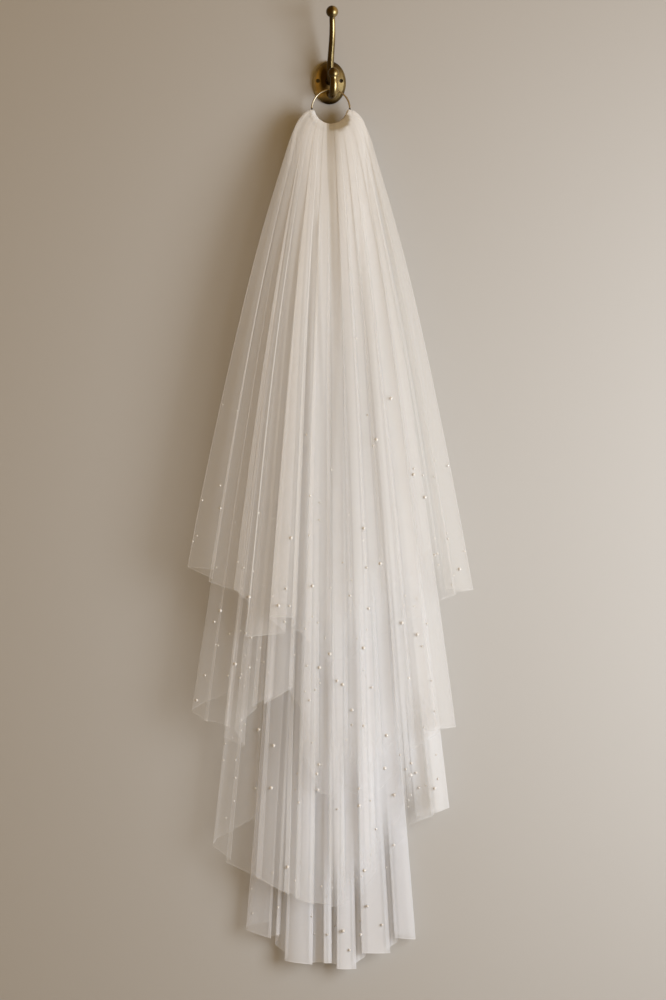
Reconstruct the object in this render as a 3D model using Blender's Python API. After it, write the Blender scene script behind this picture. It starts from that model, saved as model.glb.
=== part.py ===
"""A four-tier bridal veil of soft net, gathered on a wire ring that hangs from a double wall hook.

Metres, +X right, +Y into the wall, +Z up. The origin is the middle of the back of the hook's wall plate.
"""
import math

import bmesh
import bpy
import numpy as np

MM = 0.001

# Wall plate of the hook: a raised oval with two screw holes.
PLATE_HALF_WIDTH = 19.8 * MM
PLATE_HALF_HEIGHT = 26.0 * MM
PLATE_RIM = 2.4 * MM
PLATE_THICKNESS = 4.0 * MM
PLATE_BEVEL = 2.6 * MM
SCREW_RADIUS = 2.1 * MM
SCREW_X = 14.2 * MM
SCREW_Z = 2.0 * MM
PLATE_SIDES = 48
SCREW_SIDES = 16

SEAM = 0.3 * MM

# Prongs, swept along rounded rods. Columns: x, y, z, radius, all in millimetres.
UPPER_PRONG = (
    (0.5, -4.3, 2.0, 5.6),
    (0.5, -6.2, 2.2, 4.6),
    (0.6, -9.5, 3.5, 4.1),
    (0.7, -13.5, 8.0, 4.0),
    (0.9, -18.0, 17.0, 4.0),
    (1.8, -24.5, 30.0, 3.9),
    (3.0, -33.0, 46.0, 3.7),
    (3.4, -38.5, 58.0, 3.5),
    (3.3, -41.5, 67.0, 3.4),
)
LOWER_PRONG = (
    (1.2, -4.3, -13.2, 5.2),
    (1.3, -6.2, -13.4, 4.4),
    (1.6, -10.5, -14.8, 4.2),
    (2.2, -15.5, -16.7, 4.6),
    (3.0, -20.0, -17.4, 4.8),
    (4.2, -25.0, -16.0, 5.0),
    (5.0, -28.6, -11.4, 5.0),
    (5.2, -30.4, -6.0, 4.9),
    (5.0, -31.0, -1.0, 4.5),
)
# Balls at the tips. Columns: x, y, z, radius, all in millimetres.
UPPER_BALL = (3.1, -44.0, 78.0, 7.3)
LOWER_BALL = (4.6, -31.0, 6.9, 6.8)
PRONG_SIDES = 14
BALL_RINGS = 9
PRONG_SMOOTHING = 1

# Wire ring that carries the cloth.
RING_X = 1.5 * MM
RING_Y = -20.0 * MM
RING_Z = -34.05 * MM
RING_RADIUS = 22.85 * MM
WIRE_RADIUS = 1.05 * MM
RING_STEPS = 52
WIRE_SIDES = 8

# Gathered casing sewn round the lower half of the ring.
CASING_START = 184.0
CASING_END = 356.0
CASING_BORE = 1.5 * MM
CASING_OUTER = 5.0 * MM
CASING_OUTER_AT_ENDS = 3.0 * MM
BULGE_POWER = 0.6
CASING_GATHERS = 22
CASING_GATHER_DEPTH = 0.45 * MM
CASING_STEPS_PER_GATHER = 3
CASING_SIDES = 10

# Cloth of the four tiers.
WALL = 1.0 * MM
ROWS = (0.0, 0.025, 0.07, 0.15, 0.28, 0.46, 0.72, 1.0)
DEPTH_REACH = 150.0 * MM
CORNER_AT_TOP = 0.62 * MM
CORNER_AT_HEM = 5.0 * MM
BOW_AT_HEM = 2.2 * MM
SIDE_SWEEP = 0.25
SIDE_SWEEP_HALF_WIDTH = 170.0 * MM
RETURN_TURN = 5.0
# The outer folds bulge by this much where the cloth leaves the ring, most at this drop below it.
SHOULDER = 5.5 * MM
SHOULDER_DROP = 20.0 * MM
# A strip has its full bow from this width on, and a corner takes up at most this share of a strip.
FULL_BOW_WIDTH = 30.0 * MM
MOST_REACH = 0.42
# The least cosine used where the cloth's thickness turns a corner, so that a fold doesn't grow a spike.
LEAST_MITRE = 0.55

# Each strip is one flat run of a pleat, listed along the hem from the left edge to the right one.
# Columns: level (f front, b back, r return), x at its start, x at its end, drop of the hem at its start,
# drop at its end.
# x is from the middle of the wall plate and drops are below it, in millimetres.
TIER_1 = (
    ("r", -137, -168, 588, 585),
    ("f", -169, -137, 585, 599),
    ("b", -145, -104, 602, 616),
    ("f", -115, -94, 609, 627),
    ("b", -100, -50, 668, 663),
    ("f", -73, -38, 643, 644),
    ("b", -46, -20, 655, 672),
    ("f", -30, 4, 670, 697),
    ("b", -6, 30, 696, 694),
    ("f", 23, 50, 694, 666),
    ("b", 42, 72, 674, 660),
    ("f", 64, 93, 656, 645),
    ("b", 84, 120, 650, 640),
    ("f", 113, 139, 636, 620),
    ("b", 131, 152, 624, 618),
    ("f", 145, 171, 615, 612),
    ("r", 170, 138, 612, 612),
)
TIER_2 = (
    ("r", -118, -150, 736, 747),
    ("f", -166, -144, 757, 770),
    ("b", -151, -120, 768, 775),
    ("f", -127, -117, 773, 775),
    ("b", -128, -100, 788, 800),
    ("f", -114, -85, 776, 752),
    ("b", -94, -66, 752, 738),
    ("f", -80, -42, 749, 727),
    ("b", -50, -22, 727, 780),
    ("f", -34, -12, 800, 849),
    ("b", -20, 10, 850, 862),
    ("f", 1, 24, 861, 841),
    ("b", 16, 48, 850, 862),
    ("f", 39, 66, 866, 844),
    ("b", 58, 88, 850, 826),
    ("f", 80, 105, 820, 797),
    ("b", 97, 131, 805, 783),
    ("f", 124, 151, 777, 776),
    ("r", 150, 112, 777, 783),
)
TIER_3 = (
    ("r", -90, -135, 888, 912),
    ("f", -141, -117, 919, 936),
    ("b", -126, -80, 940, 962),
    ("f", -90, -47, 955, 978),
    ("b", -56, -34, 974, 982),
    ("f", -43, -17, 981, 989),
    ("b", -26, 6, 988, 992),
    ("f", -2, 20, 992, 989),
    ("b", 12, 44, 990, 976),
    ("f", 36, 58, 977, 948),
    ("b", 50, 97, 952, 902),
    ("f", 89, 102, 906, 885),
    ("b", 94, 127, 896, 884),
    ("f", 120, 144, 882, 874),
    ("r", 143, 104, 875, 886),
)
TIER_4 = (
    ("r", -72, -100, 1016, 1020),
    ("f", -101, -69, 1023, 1034),
    ("b", -76, -58, 1034, 1030),
    ("f", -66, -60, 1029, 1030),
    ("b", -67, -49, 1042, 1056),
    ("f", -56, -19, 1060, 1065),
    ("b", -27, -2, 1065, 1064),
    ("f", -9, 4, 1063, 1063),
    ("b", -3, 13, 1064, 1068),
    ("f", 7, 34, 1070, 1070),
    ("b", 26, 45, 1069, 1056),
    ("f", 37, 75, 1051, 1051),
    ("b", 67, 84, 1050, 1038),
    ("f", 77, 104, 1032, 1035),
    ("r", 103, 78, 1034, 1030),
)
# Each tier's place. Columns: name, strips, depths at the hem (front, back, return), depths at the top
# (front, back, return), radius of its top edge about the ring at the shoulders and in the middle, ring angles
# of its left bundle (from, to) and right bundle (from, to), and how late it flares (1 is straight, less
# is early), in millimetres and degrees.
TIERS = (
    ("tier_1", TIER_1, (-86, -74, -69), (-27.8, -26.1, -24.6), (22.6, 19.8), (186, 259), (267, 354), 0.70),
    ("tier_2", TIER_2, (-64, -52, -47), (-23.1, -21.5, -19.9), (26.9, 28.6), (186, 250), (280, 354), 0.78),
    ("tier_3", TIER_3, (-42, -30, -25), (-18.3, -16.7, -15.2), (26.9, 28.6), (188, 256), (274, 352), 0.86),
    ("tier_4", TIER_4, (-20, -8, -3.5), (-13.7, -12.1, -10.5), (22.6, 19.8), (190, 258), (276, 350), 1.00),
)

# Colours of the materials. Columns: red, green, blue, metallic, roughness, alpha.
LOOKS = {
    "antique_brass": (0.28, 0.20, 0.10, 1.0, 0.42, 1.0),
    "gold_wire": (0.62, 0.47, 0.24, 1.0, 0.28, 1.0),
    "casing_net": (0.80, 0.78, 0.72, 0.0, 0.85, 1.0),
    "tier_1_net": (0.90, 0.88, 0.83, 0.0, 0.90, 1.0),
    "tier_2_net": (0.88, 0.86, 0.81, 0.0, 0.90, 1.0),
    "tier_3_net": (0.86, 0.84, 0.79, 0.0, 0.90, 1.0),
    "tier_4_net": (0.84, 0.82, 0.77, 0.0, 0.90, 1.0),
}


def make_material(name):
    red, green, blue, metallic, roughness, alpha = LOOKS[name]
    material = bpy.data.materials.new(name)
    material.use_nodes = True
    shader = material.node_tree.nodes["Principled BSDF"]
    shader.inputs["Base Color"].default_value = (red, green, blue, 1.0)
    shader.inputs["Metallic"].default_value = metallic
    shader.inputs["Roughness"].default_value = roughness
    shader.inputs["Alpha"].default_value = alpha
    return material


def add_object(name, points, faces, material):
    mesh = bpy.data.meshes.new(name)
    corners = [tuple(float(c) for c in point) for point in points]
    polygons = [tuple(int(i) for i in face) for face in faces]
    mesh.from_pydata(corners, [], polygons)
    mesh.validate()
    mesh.update()
    mesh.materials.append(material)
    item = bpy.data.objects.new(name, mesh)
    bpy.context.scene.collection.objects.link(item)
    return item


def unit(vectors):
    return vectors / np.maximum(np.linalg.norm(vectors, axis=-1, keepdims=True), 1e-12)


def ring_faces(rings, sides, closed):
    """Faces between rings of points that follow each other, back to the first one if closed."""
    faces = []
    for i in range(rings if closed else rings - 1):
        j = (i + 1) % rings
        for k in range(sides):
            m = (k + 1) % sides
            faces.append((i * sides + k, i * sides + m, j * sides + m, j * sides + k))
    return faces


def face_out(item):
    """Turn a closed mesh's faces outwards."""
    work = bmesh.new()
    work.from_mesh(item.data)
    bmesh.ops.recalc_face_normals(work, faces=work.faces)
    if work.calc_volume(signed=True) < 0:
        bmesh.ops.reverse_faces(work, faces=work.faces)
    work.to_mesh(item.data)
    work.free()


def ellipse(half_width, half_height, y, sides):
    angle = np.linspace(0, 2 * math.pi, sides, endpoint=False)
    return np.stack([half_width * np.cos(angle), np.full(sides, y), half_height * np.sin(angle)], axis=1)


def screw_outline(x, y):
    return ellipse(SCREW_RADIUS, SCREW_RADIUS, y, SCREW_SIDES) + np.array((x, 0.0, SCREW_Z))


def make_plate(material):
    work = bmesh.new()

    def loop(points):
        return [work.verts.new(p) for p in points]

    def band(first, second):
        count = len(first)
        for k in range(count):
            m = (k + 1) % count
            work.faces.new((first[k], first[m], second[m], second[k]))

    def cap(loops):
        edges = []
        for ring in loops:
            for k in range(len(ring)):
                pair = (ring[k], ring[(k + 1) % len(ring)])
                edges.append(work.edges.get(pair) or work.edges.new(pair))
        bmesh.ops.triangle_fill(work, use_beauty=True, use_dissolve=False, edges=edges)

    back = loop(ellipse(PLATE_HALF_WIDTH, PLATE_HALF_HEIGHT, 0.0, PLATE_SIDES))
    rim = loop(ellipse(PLATE_HALF_WIDTH, PLATE_HALF_HEIGHT, -PLATE_RIM, PLATE_SIDES))
    front_width = PLATE_HALF_WIDTH - PLATE_BEVEL
    front_height = PLATE_HALF_HEIGHT - PLATE_BEVEL
    front = loop(ellipse(front_width, front_height, -PLATE_THICKNESS, PLATE_SIDES))
    band(back, rim)
    band(rim, front)
    front_loops = [front]
    back_loops = [back]
    for x in (-SCREW_X, SCREW_X):
        hole_front = loop(screw_outline(x, -PLATE_THICKNESS))
        hole_back = loop(screw_outline(x, 0.0))
        band(hole_front, hole_back)
        front_loops.append(hole_front)
        back_loops.append(hole_back)
    cap(front_loops)
    cap(back_loops)
    mesh = bpy.data.meshes.new("hook_plate")
    bmesh.ops.recalc_face_normals(work, faces=work.faces)
    work.to_mesh(mesh)
    work.free()
    mesh.materials.append(material)
    item = bpy.data.objects.new("hook_plate", mesh)
    bpy.context.scene.collection.objects.link(item)
    face_out(item)


def smooth_rows(rows, times):
    """Put a point between each two rows, on a curve through them."""
    for _ in range(times):
        before = np.vstack([2 * rows[0] - rows[1], rows[:-1]])
        after = np.vstack([rows[1:], 2 * rows[-1] - rows[-2]])
        middles = (9 * (rows[:-1] + rows[1:]) - before[:-1] - after[1:]) / 16
        joined = np.empty((2 * len(rows) - 1, rows.shape[1]))
        joined[0::2] = rows
        joined[1::2] = middles
        rows = joined
    return rows


def make_prong(name, stations, ball, material):
    """A rod swept along its stations that ends in a ball."""
    rows = smooth_rows(np.array(stations) * MM, PRONG_SMOOTHING)
    centre = np.array(ball[:3]) * MM
    radius = ball[3] * MM
    axis = unit(centre - rows[-1, :3])
    neck = rows[-1, 3]
    start = math.asin(neck / radius)
    turn = np.linspace(start, math.pi, BALL_RINGS + 1)[1:-1]
    ball_rows = np.array([[*(centre - axis * radius * math.cos(t)), radius * math.sin(t)] for t in turn])
    root = centre - axis * radius * math.cos(start)
    neck_row = np.array([[*root, neck]])
    line = np.vstack([rows, neck_row, ball_rows])
    along = np.gradient(line[:, :3], axis=0)
    along[len(rows):] = axis
    along[0] = (0.0, -1.0, 0.0)
    along = unit(along)
    side = unit(np.cross(along, (1.0, 0.0, 0.0)))
    other = np.cross(along, side)
    angle = np.linspace(0, 2 * math.pi, PRONG_SIDES, endpoint=False)
    points = (
        line[:, None, :3]
        + line[:, None, 3:] * np.cos(angle)[None, :, None] * side[:, None, :]
        + line[:, None, 3:] * np.sin(angle)[None, :, None] * other[:, None, :]
    ).reshape(-1, 3)
    rings = len(line)
    faces = ring_faces(rings, PRONG_SIDES, False)
    points = np.vstack([points, line[0, :3], centre + axis * radius])
    first_cap = rings * PRONG_SIDES
    last_cap = first_cap + 1
    last_ring = (rings - 1) * PRONG_SIDES
    for k in range(PRONG_SIDES):
        m = (k + 1) % PRONG_SIDES
        faces.append((m, k, first_cap))
        faces.append((last_ring + k, last_ring + m, last_cap))
    face_out(add_object(name, points, faces, material))


def ring_place(angle, radius):
    """Points of a circle about the ring's middle, in the ring's plane."""
    x = RING_X + radius * np.cos(angle)
    z = RING_Z + radius * np.sin(angle)
    return np.stack([x, np.full(np.shape(angle), RING_Y), z], axis=-1)


def make_ring(material):
    angle = np.linspace(0, 2 * math.pi, RING_STEPS, endpoint=False)[:, None]
    turn = np.linspace(0, 2 * math.pi, WIRE_SIDES, endpoint=False)[None, :]
    reach = RING_RADIUS + WIRE_RADIUS * np.cos(turn)
    points = ring_place(np.broadcast_to(angle, (RING_STEPS, WIRE_SIDES)), reach)
    points[..., 1] += WIRE_RADIUS * np.sin(turn)
    faces = ring_faces(RING_STEPS, WIRE_SIDES, True)
    face_out(add_object("hanging_ring", points.reshape(-1, 3), faces, material))


def bulge(angle):
    """How near a ring angle is to the casing's middle: 0 at its ends and 1 at its lowest point."""
    share = (angle - math.radians(CASING_START)) / math.radians(CASING_END - CASING_START)
    return np.sin(np.pi * np.clip(share, 0.0, 1.0)) ** BULGE_POWER


def casing_radius(angle):
    """The casing's outer radius at a ring angle, less at its two ends."""
    return CASING_OUTER_AT_ENDS + (CASING_OUTER - CASING_OUTER_AT_ENDS) * bulge(angle)


def make_casing(material):
    steps = CASING_GATHERS * CASING_STEPS_PER_GATHER + 1
    angle = np.radians(np.linspace(CASING_START, CASING_END, steps))[:, None]
    turn = np.linspace(0, 2 * math.pi, CASING_SIDES, endpoint=False)[None, :]
    wave = np.cos(np.linspace(0, 2 * math.pi * CASING_GATHERS, steps))[:, None]
    outer = casing_radius(angle) - CASING_GATHER_DEPTH * (1 - wave) / 2

    def tube(radius):
        around = np.broadcast_to(angle, (steps, CASING_SIDES))
        points = ring_place(around, RING_RADIUS + radius * np.cos(turn))
        points[..., 1] += radius * np.sin(turn)
        return points.reshape(-1, 3)

    outside = tube(outer + 0 * turn)
    inside = tube(CASING_BORE + 0 * (angle + turn))
    count = steps * CASING_SIDES
    faces = ring_faces(steps, CASING_SIDES, False)
    faces += [tuple(count + i for i in reversed(f)) for f in ring_faces(steps, CASING_SIDES, False)]
    for k in range(CASING_SIDES):
        m = (k + 1) % CASING_SIDES
        last = (steps - 1) * CASING_SIDES
        faces.append((m, k, count + k, count + m))
        faces.append((last + k, last + m, count + last + m, count + last + k))
    face_out(add_object("gathered_casing", np.vstack([outside, inside]), faces, material))


def rounded(corners, reach, bow):
    """A line through corners, with two points at each and one in the middle of each strip.

    corners holds rows of points, two for each strip. reach is how far from a corner its two points lie.
    bow is how far the middle of each strip is pushed, by strip.
    """
    count = corners.shape[1]
    points = []
    for i in range(count):
        here = corners[:, i]
        if i > 0:
            step = corners[:, i - 1] - here
            length = np.linalg.norm(step, axis=1, keepdims=True)
            points.append(here + step * np.minimum(reach / length, MOST_REACH))
        else:
            points.append(here)
        if 0 < i < count - 1:
            step = corners[:, i + 1] - here
            length = np.linalg.norm(step, axis=1, keepdims=True)
            points.append(here + step * np.minimum(reach / length, MOST_REACH))
        if i % 2 == 0:
            middle = (here + corners[:, i + 1]) / 2
            middle[:, 1] += bow[:, i // 2]
            points.append(middle)
    return np.stack(points, axis=1)


def tier_sheet(strips, low, high, top_radii, left, right, flare):
    """The mid-surface of a tier as rows of points from its top edge to its hem."""
    rows = np.array(ROWS)[:, None]
    level = np.array(["fbr".index(s[0]) for s in strips])
    hem_x = np.array([s[1:3] for s in strips]).reshape(-1) * MM
    hem_z = -np.array([s[3:5] for s in strips]).reshape(-1) * MM
    levels = np.repeat(level, 2)
    body = [i for i in range(len(strips)) if level[i] != 2]
    bundles = [[i for i in body if sum(strips[i][1:3]) < 0], [i for i in body if sum(strips[i][1:3]) >= 0]]
    angles = np.zeros(2 * len(strips))
    for bundle, span in zip(bundles, (left, right)):
        marks = np.linspace(span[0], span[1], len(bundle) + 1)
        for n, i in enumerate(bundle):
            angles[2 * i] = marks[n]
            angles[2 * i + 1] = marks[n + 1]
    angles[0:2] = (left[0] + RETURN_TURN, left[0])
    angles[-2:] = (right[1], right[1] - RETURN_TURN)
    turned = np.radians(angles)
    top = ring_place(turned, (top_radii[0] + (top_radii[1] - top_radii[0]) * bulge(turned)) * MM)
    spread = rows**flare
    x = top[:, 0] + (hem_x - top[:, 0]) * spread
    z = top[:, 2] + (hem_z - top[:, 2]) * rows
    below = np.maximum(top[:, 2] - z, 0.0) / SHOULDER_DROP
    side = (top[:, 0] - RING_X) / RING_RADIUS
    x = x + SHOULDER * side * np.abs(side) * below * np.exp(1 - below)
    fall = 1 - np.exp(-np.maximum(RING_Z - z, 0.0) / DEPTH_REACH)
    near = np.array(high)[levels] * MM
    far = np.array(low)[levels] * MM
    sweep = 1 - SIDE_SWEEP * fall * np.minimum(np.abs(x) / SIDE_SWEEP_HALF_WIDTH, 1.0) ** 2
    y = (near + (far - near) * fall) * sweep
    corners = np.stack([x, y, z], axis=-1)
    mean_fall = fall.mean(axis=1, keepdims=True)
    reach = CORNER_AT_TOP + (CORNER_AT_HEM - CORNER_AT_TOP) * mean_fall
    push = np.array((-1.0, 1.0, 0.0))[level] * BOW_AT_HEM
    widths = np.abs(hem_x[1::2] - hem_x[0::2]) / FULL_BOW_WIDTH
    bow = push[None, :] * mean_fall**2 * np.minimum(widths, 1.0)[None, :] * rows
    return rounded(corners, reach, bow)


def thicken(sheet):
    """Points of both sides of the cloth, moved out from its mid-surface by half the wall."""
    down = np.gradient(sheet, axis=0)
    step = np.diff(sheet, axis=1)
    first = np.concatenate([step[:, :1], step], axis=1)
    second = np.concatenate([step, step[:, -1:]], axis=1)
    normal_first = unit(np.cross(first, down))
    normal_second = unit(np.cross(second, down))
    normal = unit(normal_first + normal_second)
    mitre = 1 / np.maximum(np.sum(normal * normal_first, axis=-1, keepdims=True), LEAST_MITRE)
    move = normal * mitre * WALL / 2
    return sheet + move, sheet - move


def make_tier(name, strips, low, high, top_radii, left, right, flare, material):
    sheet = tier_sheet(strips, low, high, top_radii, left, right, flare)
    one, other = thicken(sheet)
    rows, columns = sheet.shape[:2]
    count = rows * columns
    points = np.vstack([one.reshape(-1, 3), other.reshape(-1, 3)])
    faces = []
    for r in range(rows - 1):
        for c in range(columns - 1):
            a = r * columns + c
            faces.append((a, a + 1, a + columns + 1, a + columns))
            faces.append((count + a + columns, count + a + columns + 1, count + a + 1, count + a))
    edge = [(0, c) for c in range(columns)]
    edge += [(r, columns - 1) for r in range(1, rows)]
    edge += [(rows - 1, c) for c in range(columns - 2, -1, -1)]
    edge += [(r, 0) for r in range(rows - 2, 0, -1)]
    marks = [r * columns + c for r, c in edge]
    for i, mark in enumerate(marks):
        following = marks[(i + 1) % len(marks)]
        faces.append((following, mark, count + mark, count + following))
    face_out(add_object(name, points, faces, material))


def main():
    for item in list(bpy.data.objects):
        bpy.data.objects.remove(item, do_unlink=True)
    materials = {name: make_material(name) for name in LOOKS}
    make_plate(materials["antique_brass"])
    make_prong("hook_upper_prong", UPPER_PRONG, UPPER_BALL, materials["antique_brass"])
    make_prong("hook_lower_prong", LOWER_PRONG, LOWER_BALL, materials["antique_brass"])
    make_ring(materials["gold_wire"])
    make_casing(materials["casing_net"])
    for name, strips, low, high, top_radii, left, right, flare in TIERS:
        make_tier(name, strips, low, high, top_radii, left, right, flare, materials[name + "_net"])


main()
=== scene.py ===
"""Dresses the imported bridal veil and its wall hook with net, pearls, aged brass, light and a camera.

Metres, +X right, +Y into the wall, +Z up. The origin is the middle of the back of the hook's wall plate.
"""

import math

import bpy
import numpy as np
from bpy.props import FloatProperty, FloatVectorProperty, IntProperty, PointerProperty
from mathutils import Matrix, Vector


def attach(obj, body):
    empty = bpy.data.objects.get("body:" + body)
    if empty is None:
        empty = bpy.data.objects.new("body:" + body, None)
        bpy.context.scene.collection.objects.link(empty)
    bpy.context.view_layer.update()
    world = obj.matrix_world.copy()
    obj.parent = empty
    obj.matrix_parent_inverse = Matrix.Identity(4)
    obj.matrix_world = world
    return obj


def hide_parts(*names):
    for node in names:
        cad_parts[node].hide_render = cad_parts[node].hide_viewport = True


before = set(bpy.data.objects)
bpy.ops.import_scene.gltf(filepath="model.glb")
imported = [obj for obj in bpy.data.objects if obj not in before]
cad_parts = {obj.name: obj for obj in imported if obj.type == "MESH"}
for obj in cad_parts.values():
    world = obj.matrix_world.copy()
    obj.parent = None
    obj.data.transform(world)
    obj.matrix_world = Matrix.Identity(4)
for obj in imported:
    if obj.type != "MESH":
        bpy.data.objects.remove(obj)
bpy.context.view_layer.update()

bl_info = {
    "name": "Bridal Veil",
    "version": (1, 0, 0),
    "blender": (4, 5, 0),
    "location": "3D View > Sidebar > Veil",
    "description": "Builds a tiered net veil with pearls on a brass wall hook",
    "category": "Object",
}

MM = 0.001

# The ring that carries the cloth, as in the frame, in metres and degrees.
RING_X = 1.5 * MM
RING_Y = -20.0 * MM
RING_Z = -34.05 * MM
RING_RADIUS = 22.85 * MM
WIRE_RADIUS = 1.05 * MM
CASING_START = 184.0
CASING_END = 356.0
CASING_BORE = 1.5 * MM
CASING_OUTER = 5.0 * MM
CASING_OUTER_AT_ENDS = 3.0 * MM
BULGE_POWER = 0.6
# How the casing is drawn: points along and round it, its gathers and how far they stand out, the share of its
# length in which each end closes, and how many times its length of net is gathered into it. Then what its net
# brings each point: no cut edge near, in metres, its cover, and the least cosine it is seen at.
CASING_STEPS = 160
CASING_SIDES = 20
CASING_GATHERS = 30
GATHER_SPAN = (-1, 0.2)
GATHER_RELIEF = 0.3 * MM
CLOSING_SHARE = 0.03
CASING_GATHERING = 2.5
CASING_EDGE = 0.1
CASING_COVER = 0.93
CASING_LEAST_FACING = 0.9

# The large pearls. Columns: x, drop, in millimetres.
LARGE_PEARLS = (
    (-43, 550), (43, 540), (59, 583), (-21, 609), (-60, 633), (102, 666), (-66, 797), (-15, 856), (75, 860),
    (14, 922), (14, 1025), (72, 388), (54, 432), (99, 478), (1, 686), (17, 723), (28, 754), (70, 786),
    (85, 654), (41, 684), (67, 824), (99, 835), (123, 850), (115, 502), (-128, 636), (-85, 779), (-50, 943),
    (43, 950), (-72, 850), (-95, 622), (156, 588), (36, 870), (-10, 705), (-110, 700), (-27, 1010), (5, 880),
)

# How far up each tier the small pearls spread, as a share of its drop.
PEARL_SPREAD = (0.2, 0.16, 0.13, 0.11)
# A pearl that would sit above the first share of the drop goes between the other two.
PEARLS_BELOW = 0.3
PEARLS_INSTEAD = (0.6, 1.0)
# The sizes of small pearls, as shares of the usual pearl, how often each comes, and the size of a large one.
PEARL_SIZES = (0.5, 0.6, 0.72, 0.9)
PEARL_ODDS = (0.3, 0.35, 0.25, 0.1)
LARGE_PEARL_SIZE = 1.1
# How near the net has to be to a large pearl's place, a depth that no net has, and the rows and columns at the
# edges that stay free.
LARGE_PEARL_REACH = 3.5 * MM
FAR = 1.0
PEARL_MARGIN = 3
PEARL_SIDES = 8
PEARL_RINGS = 5
PEARL_SEED = 110
# How a pearl looks: its tint where cool, the scale of its drift, its roughness, coat and sheen.
PEARL_COOL_TINT = (0.93, 0.95, 1.0)
PEARL_DRIFT = 90.0
PEARL_ROUGHNESS = 0.22
PEARL_COAT = 0.8
PEARL_COAT_ROUGHNESS = 0.08
PEARL_SHEEN = 0.2

# The hook's two prongs. Columns: x, y, z, radius, in millimetres, from the wall plate to the ball.
UPPER_PRONG = (
    (0.5, -4.3, 2.0, 5.6),
    (0.5, -6.2, 2.2, 4.6),
    (0.6, -9.5, 3.5, 4.1),
    (0.7, -13.5, 8.0, 4.0),
    (0.9, -18.0, 17.0, 4.0),
    (1.8, -24.5, 30.0, 3.9),
    (3.0, -33.0, 46.0, 3.7),
    (3.4, -38.5, 58.0, 3.5),
    (3.3, -41.5, 67.0, 3.4),
)
LOWER_PRONG = (
    (1.2, -4.3, -13.2, 5.2),
    (1.3, -6.2, -13.4, 4.4),
    (1.6, -10.5, -14.8, 4.2),
    (2.2, -15.5, -16.7, 4.6),
    (3.0, -20.0, -17.4, 4.8),
    (4.2, -25.0, -16.0, 5.0),
    (5.0, -28.6, -11.4, 5.0),
    (5.2, -30.4, -6.0, 4.9),
    (5.0, -31.0, -1.0, 4.5),
)
UPPER_BALL = (3.1, -44.0, 78.0, 7.3)
LOWER_BALL = (4.6, -31.0, 6.9, 6.8)
PRONG_SIDES = 40
BALL_RINGS = 26
# The plate. PLATE_SHADES are its painted shadow and shade. Columns: middle x, middle z, half width, half
# height, in millimetres, and how dark they are, as a share.
PLATE_HALF_WIDTH = 19.8
PLATE_HALF_HEIGHT = 26.0
PLATE_CROWN = 4.0
SCREW_X = 14.2
SCREW_Z = 2.0
SCREW_RADIUS = 2.1
PLATE_SHADES = (
    (-6.5, 5.0, 7.5, 22.0, 1.3),
    (4.0, 23.0, 16.0, 13.0, 0.9),
    (0.0, -26.0, 22.0, 12.0, 1.1),
    (13.0, -15.0, 14.0, 15.0, 0.9),
    (16.0, 10.0, 10.0, 16.0, 0.4),
)
# How far the painted shade at a bore's edge reaches, as the square of a share of its radius. The bore itself is
# painted near black, as shade.
BORE_SHADE_FADE = 1.5
BORE_SHADE_COLOUR = (0.012, 0.004, 0.002)

# The metals: roughness where bright and where dark, the size of a patch of patina, its noises (scale, detail),
# the share of the second, and the noise at which patina starts and is full.
PRONG_ROUGHNESS = (0.27, 0.42)
PLATE_ROUGHNESS = (0.36, 0.5)
WIRE_ROUGHNESS = (0.26, 0.4)
BRASS_PATCH = 14 * MM
WIRE_PATCH = 6 * MM
PATINA_NOISES = ((1.0, 3.0), (6.0, 2.0))
FINE_NOISE_SHARE = 0.2
PATINA_FROM_TO = (0.4, 0.85)
# The bump that the second noise gives: its strength and its height.
METAL_BUMP = 0.03
METAL_RELIEF = 0.1 * MM
# The colour of the painted shade on the prongs, the plate and the wire, and the most of it that a prong takes.
PAINTED_SHADE_COLOUR = (0.045, 0.026, 0.007)
MOST_PAINTED_SHADE = 0.9
# The height in millimetres below which the wire is painted dark, as shade where it goes into the cloth.
WIRE_SHADE_BELOW = -34.0
# The prongs are painted darkest on their left, as shade on the side away from the light: the painted shade is
# full where the surface looks this far to the right, as a share from -1 to 1, or less, and none from the
# second share on.
PAINTED_SHADE_FROM = 0.0
PAINTED_SHADE_TO = 0.6
# How much painted shade the middle points of a prong's two ends have.
END_PAINTED_SHADE = 0.5
# The upper prong is painted duller all round in its bend, as shade where its highlight fades: how much, and
# the height of the middle and the reach, in millimetres.
BEND_PAINTED_SHADE = 0.5
BEND_SHADE_HEIGHT = 36.0
BEND_SHADE_LENGTH = 12.0
# The angle short of its far pole at which a ball's last ring of points sits, in radians.
BALL_END = 0.05
RING_STEPS = 160
WIRE_SIDES = 16

# How the cloth falls, as in the frame.
DEPTH_REACH = 150.0 * MM
CORNER_AT_TOP = 1.1 * MM
CORNER_AT_HEM = 5.0 * MM
BOW_AT_HEM = 2.2 * MM
SIDE_SWEEP = 0.25
SIDE_SWEEP_HALF_WIDTH = 170.0 * MM
RETURN_TURN = 5.0
SHOULDER = 5.5 * MM
SHOULDER_DROP = 20.0 * MM
FOLD_DEPTH_AT_TOP = 0.12
# The shares of the drop at which the folds start to open and are open.
FOLDS_OPEN = (0.05, 0.5)
# The width in millimetres from which a strip has its full bow, and the most of a strip that a corner takes.
FULL_BOW_WIDTH = 30.0
MOST_REACH = 0.42
# A fold's drift to the side: its least and most size in millimetres, and turns in radians from top to hem. Then
# how early it is wide, less is earlier, and how many times the drop's share it starts by.
DRIFT_SIZES = (0.3, 1.6)
DRIFT_TURNS = (3.0, 7.0)
DRIFT_POWER = 0.7
DRIFT_START = 3
# Ripples across a strip. Columns: waves, size in millimetres. Then the least and most stretch and strength, and
# how far they turn from top to hem, in radians.
RIPPLES = ((1.0, 0.7), (2.0, 0.45), (3.0, 0.2))
RIPPLE_STRETCH = (0.8, 1.25)
RIPPLE_STRENGTH = (0.2, 1.0)
RIPPLE_TURN = 1.5
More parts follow.
